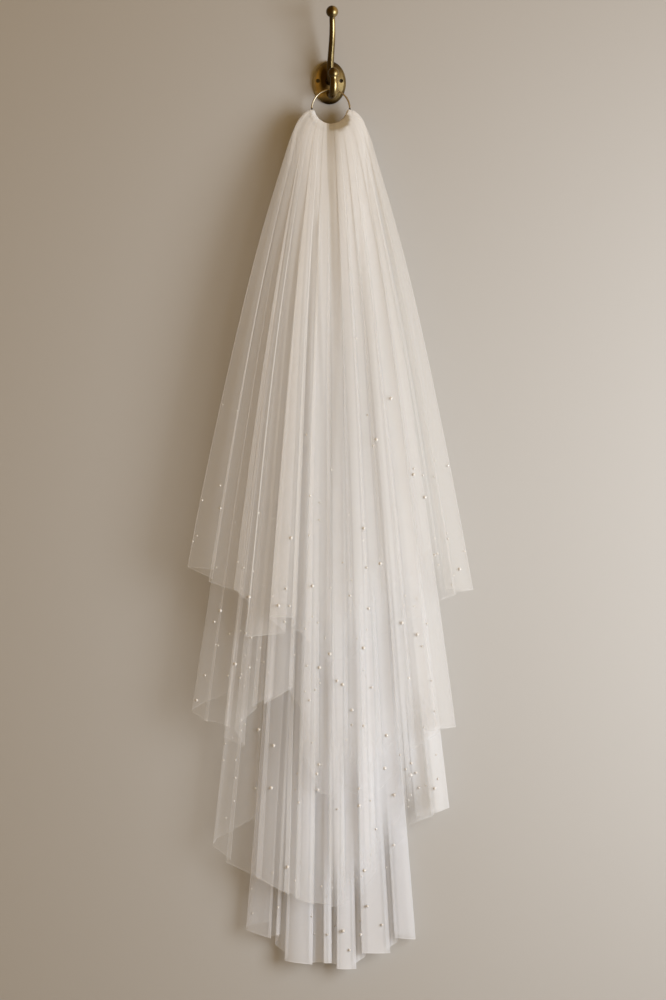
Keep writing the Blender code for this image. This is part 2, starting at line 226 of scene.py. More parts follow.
# Fine gathers at the top: depth, reach as a share of the drop, how many a strip, and how far they shift from
# one strip to the next, in radians.
GATHERS_DEPTH = 0.05 * MM
GATHERS_REACH = 0.12
GATHERS_A_STRIP = 2.0
GATHERS_SHIFT = 1.3

# Each strip is one flat run of a pleat, listed along the hem from the left edge to the right one. The first and
# the last are returns, and the others lie in front and at the back by turns, from the front. Columns: x at its
# start, x at its end, drop of the hem at its start, drop at its end. x is from the middle of the wall plate and
# drops are below it, in millimetres.
TIER_1 = (
    (-137, -168, 588, 585), (-169, -137, 585, 599), (-145, -104, 602, 616), (-115, -94, 609, 627),
    (-100, -50, 668, 663), (-73, -38, 643, 644), (-46, -20, 655, 672), (-30, 4, 670, 697),
    (-6, 30, 696, 694), (23, 50, 694, 666), (42, 72, 674, 660), (64, 93, 656, 645),
    (84, 120, 650, 640), (113, 139, 636, 620), (131, 152, 624, 618), (145, 171, 615, 612),
    (170, 138, 612, 612),
)
TIER_2 = (
    (-118, -150, 736, 747), (-166, -144, 757, 770), (-151, -120, 768, 775), (-127, -117, 773, 775),
    (-128, -100, 788, 800), (-114, -85, 776, 752), (-94, -66, 752, 738), (-80, -42, 749, 727),
    (-50, -22, 727, 780), (-34, -12, 800, 849), (-20, 10, 850, 862), (1, 24, 861, 841),
    (16, 48, 850, 862), (39, 66, 866, 844), (58, 88, 850, 826), (80, 105, 820, 797),
    (97, 131, 805, 783), (124, 151, 777, 776), (150, 112, 777, 783),
)
TIER_3 = (
    (-90, -135, 888, 912), (-141, -117, 919, 936), (-126, -80, 940, 962), (-90, -47, 955, 978),
    (-56, -34, 974, 982), (-43, -17, 981, 989), (-26, 6, 988, 992), (-2, 20, 992, 989),
    (12, 44, 990, 976), (36, 58, 977, 948), (50, 97, 952, 902), (89, 102, 906, 885),
    (94, 127, 896, 884), (120, 144, 882, 874), (143, 104, 875, 886),
)
TIER_4 = (
    (-72, -100, 1016, 1020), (-101, -69, 1023, 1034), (-76, -58, 1034, 1030), (-66, -60, 1029, 1030),
    (-67, -49, 1042, 1056), (-56, -19, 1060, 1065), (-27, -2, 1065, 1064), (-9, 4, 1063, 1063),
    (-3, 13, 1064, 1068), (7, 34, 1070, 1070), (26, 45, 1069, 1056), (37, 75, 1051, 1051),
    (67, 84, 1050, 1038), (77, 104, 1032, 1035), (103, 78, 1034, 1030),
)
# Each tier's place. Columns: name, strips, depths at the hem (front, back, return), depths at the top
# (front, back, return), radius of its top edge about the ring at the shoulders and in the middle, ring angles
# of its left bundle (from, to) and right bundle (from, to), and how late it flares (1 is straight, less is
# early), in millimetres and degrees.
TIERS = (
    ("tier_1", TIER_1, (-86, -74, -69), (-27.8, -26.1, -24.6), (22.6, 19.8), (186, 259), (267, 354), 0.70),
    ("tier_2", TIER_2, (-64, -52, -47), (-23.1, -21.5, -19.9), (26.9, 28.6), (186, 250), (280, 354), 0.78),
    ("tier_3", TIER_3, (-42, -30, -25), (-18.3, -16.7, -15.2), (26.9, 28.6), (188, 256), (274, 352), 0.86),
    ("tier_4", TIER_4, (-20, -8, -3.5), (-13.7, -12.1, -10.5), (22.6, 19.8), (190, 258), (276, 350), 1.00),
)

# The cut of each tier as it shows. Columns: tier, width at the hem, length, in metres, area in square metres.
TIER_CUTS = (
    ("tier_1", 0.78, 0.61, 0.29),
    ("tier_2", 0.89, 0.76, 0.39),
    ("tier_3", 0.68, 0.90, 0.37),
    ("tier_4", 0.50, 1.01, 0.31),
)

# How finely a tier is drawn: rows down the drop, points round a fold's corner and across a strip.
TIER_ROWS = 110
CORNER_POINTS = 6
STRIP_POINTS = 9
# More than 1 sets the rows closer at the top.
ROW_POWER = 1.25
SEED = 11

# The net: the size of its holes, the line of a ridge of thread across and down the cloth, the least and most
# share of cover that the weave gives, the width of the cut edge, the most cover, the share of light that goes
# through a thread, and the threads' roughness and gloss.
HOLE_SIZE = 1.5 * MM
WEAVE_ACROSS = 0.87
WEAVE_SLANT = 0.5
WEAVE_COVER = (0.7, 1.2)
CUT_EDGE = 1.6 * MM
MOST_COVER = 0.97
GLOW_SHARE = 0.40
NET_ROUGHNESS = 0.75
NET_GLOSS = 0.2

# The least cosine at which the net is taken to be seen, so that a fold's edge doesn't turn solid: where folds
# are crisp, and where they are soft.
LEAST_FACING = (0.2, 0.9)

# How many layers of net a point of a tier stands for, because the finest folds aren't drawn.
# Columns: x at the hem in millimetres, layers of tiers 1, 2, 3 and 4.
FULLNESS = (
    (-170, 0.4, 0.35, 0.3, 0.35),
    (-110, 1.15, 0.8, 0.65, 0.7),
    (-60, 1.75, 1.8, 2.2, 2.4),
    (-30, 1.7, 2.2, 3.4, 5.0),
    (0, 1.6, 2.4, 5.0, 8.5),
    (40, 2.2, 3.0, 6.0, 9.0),
    (90, 2.1, 2.6, 4.4, 3.6),
    (140, 1.3, 1.6, 3.0, 3.0),
    (172, 0.9, 1.1, 1.6, 2.2),
)
# The tint of each tier's net, times the net's own colour: painted light colour, warmer in the top tier and
# cooler lower down, where the light is cooler.
TIER_LIGHT_TINTS = ((0.99, 0.98, 0.96), (0.99, 0.985, 0.98), (0.985, 0.99, 1.0), (0.98, 0.99, 1.02))

# Streaks along the cloth. Columns: knots a strip, size as a share. Then their turn in radians from top to hem,
# and how strong they are where the net is crisp.
STREAKS = ((4, 0.06), (2, 0.07))
STREAK_TURN = 1.4
STREAK_CRISPNESS = 1.3

# How soft the folds look. Columns: x at the hem in millimetres, softness from 0, crisp, to 1, melted together.
SOFTNESS = ((-170, 0.0), (-60, 0.1), (-25, 0.4), (5, 0.75), (40, 1.0), (125, 0.95), (150, 0.6), (172, 0.3))
TIER_SOFTNESS = (1.0, 0.95, 0.9, 0.8)
# How much softer they are at the top, and how far down this reaches, as a share of the drop.
SOFTNESS_AT_TOP = 0.9
SOFTNESS_REACH = 0.2
# The share of cover taken off where a strip turns into the next, and where strips overlap: where crisp, and
# where soft. The turn's is none up to the first number of corner reaches of overlap, and full from the second.
TURN_LOSS = (0.3, 1.0)
OVERLAP_LOSS = (0.15, 0.5)
TURN_FROM_TO = (0.6, 2.0)
OVERLAP_FADE = 4 * MM
# Where folds are soft, the net thins out towards the hem: the heights above it at which this is full and
# starts, how much each tier does so, and how far from its side edges this starts and is full, in millimetres.
HEM_FADE = (-10.0, 90.0)
HEM_SOFTNESS = (1.3, 1.3, 1.3, 0.0)
HEM_SIDES = (8.0, 50.0)

# How far the net's shading follows its folds: 1 is fully, less is softer.
FOLD_SHADING = (0.5, 0.06)

# Creases, given one by one. Columns: tier, counted from 0, x and drop where the crease starts, x and drop where
# it ends, half its width, and its depth (more than 0 is a trough, less is a ridge), in millimetres.
CREASES = (
    (0, 0.5, 110, 7.5, 330, 4.0, 3.2),
    (0, 7.5, 300, 3.0, 500, 3.5, 2.4),
    (0, -16.0, 95, -6.5, 400, 2.6, -2.6),
    (0, -6.5, 370, 6.5, 690, 2.4, -2.0),
    (0, -19.5, 340, -31.5, 640, 2.4, -1.8),
    (0, -52.0, 250, -72.0, 640, 3.2, -1.6),
    (0, 38.0, 190, 66.0, 640, 7.0, 2.0),
    (0, 70.0, 330, 104.0, 640, 8.0, -1.8),
    (1, -31.5, 560, -47.0, 850, 3.2, 4.0),
    (1, 18.5, 575, 21.0, 745, 2.4, 2.6),
    (1, -5.5, 690, -4.0, 840, 2.2, 2.4),
    (1, 40.0, 230, 78.0, 720, 6.0, 2.2),
    (1, -60.0, 260, -112.0, 740, 5.0, -2.0),
    (2, 8.0, 150, 24.0, 660, 4.5, 2.4),
    (2, 50.0, 300, 84.0, 800, 5.5, -2.0),
    (2, -70.0, 420, -98.0, 940, 4.5, 2.4),
    (2, -8.0, 640, -12.0, 980, 3.0, -2.0),
    (3, 2.0, 850, 4.0, 1060, 2.6, 2.8),
    (3, 32.5, 890, 31.5, 1060, 2.6, 2.8),
    (3, -48.0, 840, -63.0, 1030, 2.8, 3.0),
    (3, -24.0, 820, -27.0, 1050, 2.4, -2.0),
    (3, -8.0, 200, -20.0, 760, 5.0, -2.4),
    (3, 14.0, 180, 30.0, 700, 5.5, 2.4),
    (3, 72.0, 860, 78.0, 1010, 4.0, 0.9),
)
# The painted shade that a crease's trough adds for each millimetre of its depth.
CREASE_SHADE = 0.10

# The net is painted darker and warmer, as shade, inside the open fold at the top of the right bundle, and
# beside it.
# Columns: ring angle in degrees, distance of the fold's lower edge from the ring's middle in millimetres.
POCKET = ((262, 27.0), (275, 29.0), (290, 30.5), (305, 30.5), (320, 29.0), (340, 24.0))
POCKET_TOP = 18.4
# How far its upper edge, its lower edge (inwards, outwards) and its two ends are blurred, in millimetres and
# degrees.
POCKET_TOP_BLUR = 0.8
POCKET_BLUR = (1.6, 1.2)
POCKET_FADES = (4, 8)
# The line between the two bundles. Columns: drop, x, in millimetres. Then the shade beside it: how much, where
# it starts and is full, the share of its width to which it stays full, its width, and how far down it reaches.
SEAM = ((57, -3.0), (116, -2.3), (156, 0.5), (214, 1.7), (300, 4.5))
SEAM_SHADE = 0.62
SEAM_EDGE = (-1.2, 0.6)
SEAM_FULL = 0.2
SEAM_WIDTH = 21.0
SEAM_FADE = 110.0
# The tint that the net's painted shade goes to.
SHADE_TINT = (0.50, 0.41, 0.27)
# Where it is gathered, the net is a little shaded, from none on the left bundle to full on the right one. The
# fade is a drop, and the sides are x, in millimetres.
GATHER_SHADE = 0.16
GATHER_FADE = 150.0
GATHER_SIDES = (-30.0, 5.0)


def unit(vectors):
    return vectors / np.maximum(np.linalg.norm(vectors, axis=-1, keepdims=True), 1e-12)


def ring_place(angle, radius):
    """Points of a circle about the ring's middle: x and z by cosine and sine, y constant."""
    y = RING_Y + 0 * (angle + radius)
    return np.stack([RING_X + radius * np.cos(angle), y, RING_Z + radius * np.sin(angle)], axis=-1)


def bulge(angle):
    """How near a ring angle is to the casing's middle: a sine to BULGE_POWER, from 0 at its ends to 1."""
    share = (angle - math.radians(CASING_START)) / math.radians(CASING_END - CASING_START)
    return np.sin(np.pi * np.clip(share, 0.0, 1.0)) ** BULGE_POWER


def blend(ends, share):
    """From the first of two numbers to the second, by a share."""
    return ends[0] + (ends[1] - ends[0]) * share


def smoothstep(low, high, value):
    share = np.clip((value - low) / (high - low), 0.0, 1.0)
    return share * share * (3 - 2 * share)


def turns(sides):
    """Angles all round a circle, in radians."""
    return np.linspace(0, 2 * math.pi, sides, endpoint=False)


def tube(angle, turn, radius):
    """A grid of points of a tube about the ring's own circle: a column of ring angles by a row of turns."""
    angle = np.broadcast_to(angle, (angle.shape[0], turn.shape[1]))
    points = ring_place(angle, RING_RADIUS + radius * np.cos(turn))
    points[..., 1] += radius * np.sin(turn)
    return points


def grid_faces(rows, columns, around=False):
    """Quads of a grid whose point (row, column) has number row * columns + column."""
    r = np.arange(rows - 1)[:, None]
    c = np.arange(columns if around else columns - 1)[None, :]
    after = (c + 1) % columns
    quads = np.stack(
        [r * columns + c, r * columns + after, (r + 1) * columns + after, (r + 1) * columns + c], axis=-1
    )
    return quads.reshape(-1, 4)


def fill(items, key, values, kind=np.float32):
    """Writes a whole array into one property of a mesh's items."""
    items.foreach_set(key, np.ascontiguousarray(values, dtype=kind).ravel())


def make_mesh(name, points, faces, material, uv=None, attributes=None, normals=None):
    """A smooth mesh object at the origin, from arrays of points and faces, with its own normals if given."""
    mesh = bpy.data.meshes.new(name)
    count, corners = faces.shape
    mesh.vertices.add(len(points))
    mesh.loops.add(count * corners)
    mesh.polygons.add(count)
    fill(mesh.vertices, "co", points)
    fill(mesh.loops, "vertex_index", faces, np.int32)
    fill(mesh.polygons, "loop_start", np.arange(count) * corners, np.int32)
    fill(mesh.polygons, "loop_total", np.full(count, corners), np.int32)
    mesh.update(calc_edges=True)
    mesh.validate()
    fill(mesh.polygons, "use_smooth", np.ones(len(mesh.polygons)), bool)
    if uv is not None:
        fill(mesh.uv_layers.new(name="cloth").data, "uv", uv[faces.ravel()])
    for key, values in (attributes or {}).items():
        fill(mesh.attributes.new(key, "FLOAT", "POINT").data, "value", values)
    mesh.materials.append(material)
    mesh.update()
    if normals is not None:
        mesh.normals_split_custom_set_from_vertices(normals)
    item = bpy.data.objects.new(name, mesh)
    bpy.context.scene.collection.objects.link(item)
    return item


# Shader parts


def feed(tree, node, inputs):
    """Sets a node's inputs: a socket is linked, and a number or a colour is set."""
    for key, value in inputs.items():
        if isinstance(value, bpy.types.NodeSocket):
            tree.links.new(value, node.inputs[key])
        else:
            node.inputs[key].default_value = value
    return node


def add_node(tree, kind, inputs=None, **settings):
    node = tree.nodes.new(kind)
    for key, value in settings.items():
        setattr(node, key, value)
    return feed(tree, node, inputs or {})


def attribute(tree, name):
    """A number that the mesh brings for each point, as a socket."""
    return add_node(tree, "ShaderNodeAttribute", attribute_name=name).outputs["Fac"]


def math_node(tree, operation, first, second=None):
    inputs = {0: first} if second is None else {0: first, 1: second}
    return add_node(tree, "ShaderNodeMath", inputs, operation=operation).outputs[0]


def remap(tree, value, low, high, to_low, to_high):
    inputs = {"Value": value, "From Min": low, "From Max": high, "To Min": to_low, "To Max": to_high}
    return add_node(tree, "ShaderNodeMapRange", inputs).outputs["Result"]


def mix_colour(tree, share, first, second):
    """A mix of two colours, each a socket or three numbers, by a share."""
    ends = [(*value, 1.0) if isinstance(value, tuple) else value for value in (first, second)]
    return add_node(tree, "ShaderNodeMix", {0: share, 6: ends[0], 7: ends[1]}, data_type="RGBA").outputs[2]


def new_material(name):
    material = bpy.data.materials.new(name)
    material.use_nodes = True
    return material, material.node_tree, material.node_tree.nodes["Principled BSDF"]


def new_group(name, inputs, outputs):
    """A node group of numbers: its tree, and the nodes that hold what it is given and what it returns."""
    tree = bpy.data.node_groups.new(name, "ShaderNodeTree")
    for way, keys in (("INPUT", inputs), ("OUTPUT", outputs)):
        for key in keys:
            tree.interface.new_socket(key, in_out=way, socket_type="NodeSocketFloat")
    return tree, add_node(tree, "NodeGroupInput"), add_node(tree, "NodeGroupOutput")


def net_weave_group():
    """A node group: how much thread shows at a point of the cloth.

    Two sets of fine sine ridges, each aslant to the drop, make the net's small holes.
    """
    name = "Net weave"
    if name in bpy.data.node_groups:
        return bpy.data.node_groups[name]
    tree, given, result = new_group(name, ("Hole Size",), ("Thread",))
    place = add_node(tree, "ShaderNodeUVMap", uv_map="cloth").outputs[0]
    scale = math_node(tree, "DIVIDE", 2 * math.pi, given.outputs["Hole Size"])
    scaled = add_node(tree, "ShaderNodeVectorMath", {0: place, "Scale": scale}, operation="SCALE").outputs[0]
    ridges = []
    for slant in (WEAVE_SLANT, -WEAVE_SLANT):
        inputs = {0: scaled, 1: (WEAVE_ACROSS, slant, 0.0)}
        line = add_node(tree, "ShaderNodeVectorMath", inputs, operation="DOT_PRODUCT")
        ridges.append(math_node(tree, "COSINE", line.outputs["Value"]))
    feed(tree, result, {"Thread": math_node(tree, "MAXIMUM", *ridges)})
    return tree


def net_material(name, colour, edge_cover):
    """Sheer net that lets light through both ways, denser at its cut edge and at a slant.

    The mesh brings four values a point: cover, the share of light its layers stop face on; edge, how far the
    point is from the net's cut edge; least_facing, which limits what a slant adds; and shade, the painted shade
    it takes for lying deep.
    """
    material, tree, shader = new_material(name)
    weave = add_node(tree, "ShaderNodeGroup", node_tree=net_weave_group())
    feed(tree, weave, {"Hole Size": HOLE_SIZE})
    share = remap(tree, weave.outputs["Thread"], -1.0, 1.0, *WEAVE_COVER)
    woven = math_node(tree, "MULTIPLY", attribute(tree, "cover"), share)
    cut = remap(tree, attribute(tree, "edge"), 0.0, CUT_EDGE, edge_cover, 0.0)
    cover = math_node(tree, "MINIMUM", math_node(tree, "ADD", woven, cut), MOST_COVER)
    slant = add_node(tree, "ShaderNodeLayerWeight", {"Blend": 0.5})
    facing = math_node(tree, "SUBTRACT", 1.0, slant.outputs["Facing"])
    facing = math_node(tree, "MAXIMUM", facing, attribute(tree, "least_facing"))
    open_share = math_node(tree, "SUBTRACT", 1.0, cover)
    through = math_node(tree, "POWER", open_share, math_node(tree, "DIVIDE", 1.0, facing))
    # Painted shade: the net's colour goes towards its shaded tint by the mesh's shade.
    shaded = tuple(c * t for c, t in zip(colour, SHADE_TINT))
    tone = mix_colour(tree, attribute(tree, "shade"), colour, shaded)
    feed(tree, shader, {"Base Color": tone, "Roughness": NET_ROUGHNESS, "Specular IOR Level": NET_GLOSS})
    glow = add_node(tree, "ShaderNodeBsdfTranslucent", {"Color": tone}).outputs[0]
    thread = add_node(tree, "ShaderNodeMixShader", {0: GLOW_SHARE, 1: shader.outputs[0], 2: glow}).outputs[0]
    hole = add_node(tree, "ShaderNodeBsdfTransparent").outputs[0]
    net = add_node(tree, "ShaderNodeMixShader", {0: through, 1: thread, 2: hole}).outputs[0]
    feed(tree, tree.nodes["Material Output"], {"Surface": net})
    return material


def brass_wear_group():
    """A node group: patches of patina from two noises over the object, as a mask, a roughness and a height."""
    name = "Brass wear"
    if name in bpy.data.node_groups:
        return bpy.data.node_groups[name]
    inputs = ("Patch Size", "Low Roughness", "High Roughness")
    tree, given, result = new_group(name, inputs, ("Patina", "Roughness", "Height"))
    size, low, high = (given.outputs[key] for key in inputs)
    place = add_node(tree, "ShaderNodeTexCoord").outputs["Object"]
    scaling = {0: place, "Scale": math_node(tree, "DIVIDE", 1.0, size)}
    scaled = add_node(tree, "ShaderNodeVectorMath", scaling, operation="SCALE").outputs[0]
    noises = [
        add_node(tree, "ShaderNodeTexNoise", {"Vector": scaled, "Scale": scale, "Detail": detail}).outputs[0]
        for scale, detail in PATINA_NOISES
    ]
    both = math_node(tree, "ADD", noises[0], math_node(tree, "MULTIPLY", noises[1], FINE_NOISE_SHARE))
    mask = remap(tree, both, *PATINA_FROM_TO, 0.0, 1.0)
    spread = math_node(tree, "SUBTRACT", high, low)
    rough = math_node(tree, "ADD", low, math_node(tree, "MULTIPLY", mask, spread))
    feed(tree, result, {"Patina": mask, "Roughness": rough, "Height": noises[1]})
    return tree


def metal_material(name, bright, dark, roughness, patch):
    """Aged metal: its material, node tree, shader, colour and bump, for more to be added."""
    material, tree, shader = new_material(name)
    wear = add_node(tree, "ShaderNodeGroup", node_tree=brass_wear_group())
    feed(tree, wear, {"Patch Size": patch, "Low Roughness": roughness[0], "High Roughness": roughness[1]})
    tone = mix_colour(tree, wear.outputs["Patina"], bright, dark)
    relief = {"Strength": METAL_BUMP, "Distance": METAL_RELIEF, "Height": wear.outputs["Height"]}
    bump = add_node(tree, "ShaderNodeBump", relief)
    rough = wear.outputs["Roughness"]
    feed(tree, shader, {"Base Color": tone, "Roughness": rough, "Metallic": 1.0, "Normal": bump.outputs[0]})
    return material, tree, shader, tone, bump


def object_axes(tree):
    """The x, y and z of a point of the object, as three sockets."""
    place = add_node(tree, "ShaderNodeTexCoord").outputs["Object"]
    return add_node(tree, "ShaderNodeSeparateXYZ", {0: place}).outputs


def ellipse(tree, axes, middle_x, middle_z, half_x, half_z):
    """((x - middle x) / half x) squared plus ((z - middle z) / half z) squared, of sizes in millimetres."""
    squares = []
    for value, middle, half in ((axes[0], middle_x, half_x), (axes[2], middle_z, half_z)):
        share = math_node(tree, "DIVIDE", math_node(tree, "SUBTRACT", value, middle * MM), half * MM)
        squares.append(math_node(tree, "MULTIPLY", share, share))
    return math_node(tree, "ADD", *squares)


def prong_material(name, bright, dark):
    """Aged brass with painted shade: darker where the mesh marks a point as in shade."""
    material, tree, shader, tone, _ = metal_material(name, bright, dark, PRONG_ROUGHNESS, BRASS_PATCH)
    # Painted shade: darkest on the side away from the light, as the mesh marks it.
    share = math_node(tree, "MULTIPLY", attribute(tree, "painted_shade"), MOST_PAINTED_SHADE)
    feed(tree, shader, {"Base Color": mix_colour(tree, share, tone, PAINTED_SHADE_COLOUR)})
    return material


def plate_material(name, bright, dark):
    """Aged brass plate, domed by a bump, with painted shadow and shade in places and painted black in its
    bores.
    """
    material, tree, shader, tone, bump = metal_material(name, bright, dark, PLATE_ROUGHNESS, BRASS_PATCH)
    axes = object_axes(tree)
    # Painted shadow and shade in the plate's dark places.
    for middle_x, middle_z, half_x, half_z, most in PLATE_SHADES:
        away = ellipse(tree, axes, middle_x, middle_z, half_x, half_z)
        tone = mix_colour(tree, remap(tree, away, 0.0, 1.0, most, 0.0), tone, PAINTED_SHADE_COLOUR)
    # Painted shade: the screw bores near black.
    for bore_x in (-SCREW_X, SCREW_X):
        away = ellipse(tree, axes, bore_x, SCREW_Z, SCREW_RADIUS, SCREW_RADIUS)
        tone = mix_colour(tree, remap(tree, away, 1.0, BORE_SHADE_FADE, 1.0, 0.0), tone, BORE_SHADE_COLOUR)
    away = ellipse(tree, axes, 0.0, 0.0, PLATE_HALF_WIDTH, PLATE_HALF_HEIGHT)
    height = math_node(tree, "SUBTRACT", 1.0, away)
    relief = {"Strength": 1.0, "Distance": PLATE_CROWN * MM, "Height": height}
    feed(tree, bump, {"Normal": add_node(tree, "ShaderNodeBump", relief).outputs[0]})
    feed(tree, shader, {"Base Color": tone})
    return material


def wire_material(name, bright, dark):
    """Pale gold wire with painted shade: nearly black at its two ends, where it goes into the cloth."""
    material, tree, shader, tone, _ = metal_material(name, bright, dark, WIRE_ROUGHNESS, WIRE_PATCH)
    # Painted shade where the wire goes into the cloth.
    height = object_axes(tree)[2]
    share = remap(tree, height, WIRE_SHADE_BELOW * MM, (WIRE_SHADE_BELOW + 1) * MM, 1.0, 0.0)
    feed(tree, shader, {"Base Color": mix_colour(tree, share, tone, PAINTED_SHADE_COLOUR)})
    return material


def pearl_material(name, colour):
    """Pearl: pale, glossy coat over a soft body, with a faint warm and cool drift."""
    material, tree, shader = new_material(name)
    place = add_node(tree, "ShaderNodeTexCoord").outputs["Object"]
    noise = add_node(tree, "ShaderNodeTexNoise", {"Vector": place, "Scale": PEARL_DRIFT, "Detail": 1.0})
    cool = tuple(c * t for c, t in zip(colour, PEARL_COOL_TINT))
    tone = mix_colour(tree, noise.outputs[0], colour, cool)
    feed(tree, shader, {"Base Color": tone, "Roughness": PEARL_ROUGHNESS, "Sheen Weight": PEARL_SHEEN})
    feed(tree, shader, {"Coat Weight": PEARL_COAT, "Coat Roughness": PEARL_COAT_ROUGHNESS})
    return material


# Cloth shapes


def fold_corners(strips, low, high, top_radii, left, right, flare, rows):
    """The corners of the pleats in each row, two for each strip, how far they have come out, and each level.

    The levels are 0 in front, 1 at the back and 2 for a return.
    A corner runs from its place on the ring's arc to its place on the hem: its drop grows evenly, its x by the
    drop's share to the power flare, and its depth by 1 - exp(-height / reach).
    """
    level = (np.arange(len(strips)) + 1) % 2
    level[[0, -1]] = 2
    hem_x = np.array([s[0:2] for s in strips]).reshape(-1) * MM
    hem_z = -np.array([s[2:4] for s in strips]).reshape(-1) * MM
    angles = np.zeros(2 * len(strips))
    body = np.flatnonzero(level != 2)
    middle = np.array([strips[i][0] + strips[i][1] for i in body])
    for bundle, span in ((body[middle < 0], left), (body[middle >= 0], right)):
        marks = np.linspace(span[0], span[1], len(bundle) + 1)
        angles[2 * bundle] = marks[:-1]
        angles[2 * bundle + 1] = marks[1:]
    angles[0:2] = (left[0] + RETURN_TURN, left[0])
    angles[-2:] = (right[1], right[1] - RETURN_TURN)
    turned = np.radians(angles)
    top = ring_place(turned, blend(top_radii, bulge(turned)) * MM)
    x = blend((top[:, 0], hem_x), rows**flare)
    z = blend((top[:, 2], hem_z), rows)
    below = np.maximum(top[:, 2] - z, 0.0) / SHOULDER_DROP
    side = (top[:, 0] - RING_X) / RING_RADIUS
    x = x + SHOULDER * side * np.abs(side) * below * np.exp(1 - below)
    fall = 1 - np.exp(-np.maximum(RING_Z - z, 0.0) / DEPTH_REACH)
    levels = np.repeat(level, 2)
    sweep = 1 - SIDE_SWEEP * fall * np.minimum(np.abs(x) / SIDE_SWEEP_HALF_WIDTH, 1.0) ** 2
    y = blend((np.array(high)[levels] * MM, np.array(low)[levels] * MM), fall) * sweep
    middle_y = y.mean(axis=1, keepdims=True)
    y = middle_y + (y - middle_y) * blend((FOLD_DEPTH_AT_TOP, 1), smoothstep(*FOLDS_OPEN, rows))
    return np.stack([x, y, z], axis=-1), fall.mean(axis=1, keepdims=True), level


def wander(corners, rows, random):
    """Lets each fold drift a little sideways on its way down, by two slow sines that are still at both ends."""
    count = corners.shape[1]
    size = random.uniform(*DRIFT_SIZES, count) * MM
    phase = random.uniform(0, 2 * math.pi, count)
    drift = np.sin(rows * random.uniform(*DRIFT_TURNS, count) + phase) * np.sin(np.pi * rows) ** DRIFT_POWER
    corners[..., 0] += size * drift * np.minimum(rows * DRIFT_START, 1.0)
    return corners


def pleated_sheet(corners, reach, bow):
    """A sheet through the corners: each corner is a quadratic curve and each strip a shallow parabola."""
    step_back = np.concatenate([corners[:, :1], corners[:, :-1]], axis=1) - corners
    step_on = np.concatenate([corners[:, 1:], corners[:, -1:]], axis=1) - corners
    ends = []
    for step in (step_back, step_on):
        length = np.maximum(np.linalg.norm(step, axis=-1, keepdims=True), 1e-9)
        ends.append(corners + step * np.minimum(reach[..., None] / length, MOST_REACH))
    t = np.linspace(0, 1, CORNER_POINTS)[:, None]
    arc = (
        ends[0][:, :, None] * (1 - t) ** 2
        + corners[:, :, None] * 2 * t * (1 - t)
        + ends[1][:, :, None] * t**2
    )
    s = np.linspace(0, 1, STRIP_POINTS + 2)[1:-1, None]
    start = ends[1][:, 0::2, None]
    finish = ends[0][:, 1::2, None]
    run = start + (finish - start) * s
    run[..., 1] += (4 * s[:, 0] * (1 - s[:, 0]))[None, None, :] * bow[..., None]
    blocks = np.concatenate([arc[:, 0::2], run, arc[:, 1::2]], axis=2)
    rows = corners.shape[0]
    return blocks.reshape(rows, -1, 3)


def sheet_normals(sheet):
    """Unit normals of a sheet's grid, from differences along and across, pointing to the front."""
    along = np.gradient(sheet, axis=0)
    across = np.gradient(sheet, axis=1)
    return unit(np.cross(across, along))


def streaks(rows, count, per_strip, random):
    """Soft lengthwise streaks: two random curves across the cloth, blended down it by sine and cosine."""
    columns = count * per_strip
    turn = STREAK_TURN * rows
    total = np.zeros((len(rows), columns))
    for knots_a_strip, size in STREAKS:
        knots = count * knots_a_strip
        marks = np.linspace(0, columns - 1, knots)
        first = np.interp(np.arange(columns), marks, random.normal(0, 1, knots))
        second = np.interp(np.arange(columns), marks, random.normal(0, 1, knots))
        total += size * (first * np.cos(turn) + second * np.sin(turn))
    return total


def creases(number, points):
    """How far each point is pushed to the wall by the tier's creases: a bell across each, a sine along it."""
    push = np.zeros(points.shape[:-1])
    for tier, x_from, drop_from, x_to, drop_to, half, depth in CREASES:
        if tier != number:
            continue
        along = (-points[..., 2] / MM - drop_from) / (drop_to - drop_from)
        off = (points[..., 0] / MM - x_from - (x_to - x_from) * along) / half
        push += depth * np.exp(-(off**2)) * np.sin(np.pi * np.clip(along, 0.0, 1.0)) ** 0.5
    return push


def depth_shade(points):
    """How shaded a point is at the top: 1 in the right bundle's pocket, less beside the bundles' line."""
    x = points[..., 0] / MM
    drop = -points[..., 2] / MM
    away = np.hypot(x - RING_X / MM, drop + RING_Z / MM)
    angle = np.degrees(np.arctan2(-drop - RING_Z / MM, x - RING_X / MM)) % 360
    angles, edges = np.array(POCKET, dtype=float).T
    low = np.interp(angle, angles, edges)
    pocket = smoothstep(angles[0], angles[0] + POCKET_FADES[0], angle)
    pocket = pocket * (1 - smoothstep(angles[-1] - POCKET_FADES[1], angles[-1], angle))
    pocket = pocket * (1 - smoothstep(low - POCKET_BLUR[0], low + POCKET_BLUR[1], away))
    pocket = pocket * smoothstep(POCKET_TOP - POCKET_TOP_BLUR, POCKET_TOP + POCKET_TOP_BLUR, away)
    drops, places = np.array(SEAM, dtype=float).T
    off = x - np.interp(drop, drops, places)
    beside = smoothstep(*SEAM_EDGE, off) * (1 - smoothstep(SEAM_FULL * SEAM_WIDTH, SEAM_WIDTH, off))
    beside = beside * SEAM_SHADE * np.exp(-np.maximum(drop - drops[0], 0) / SEAM_FADE)
    return np.maximum(pocket, beside)


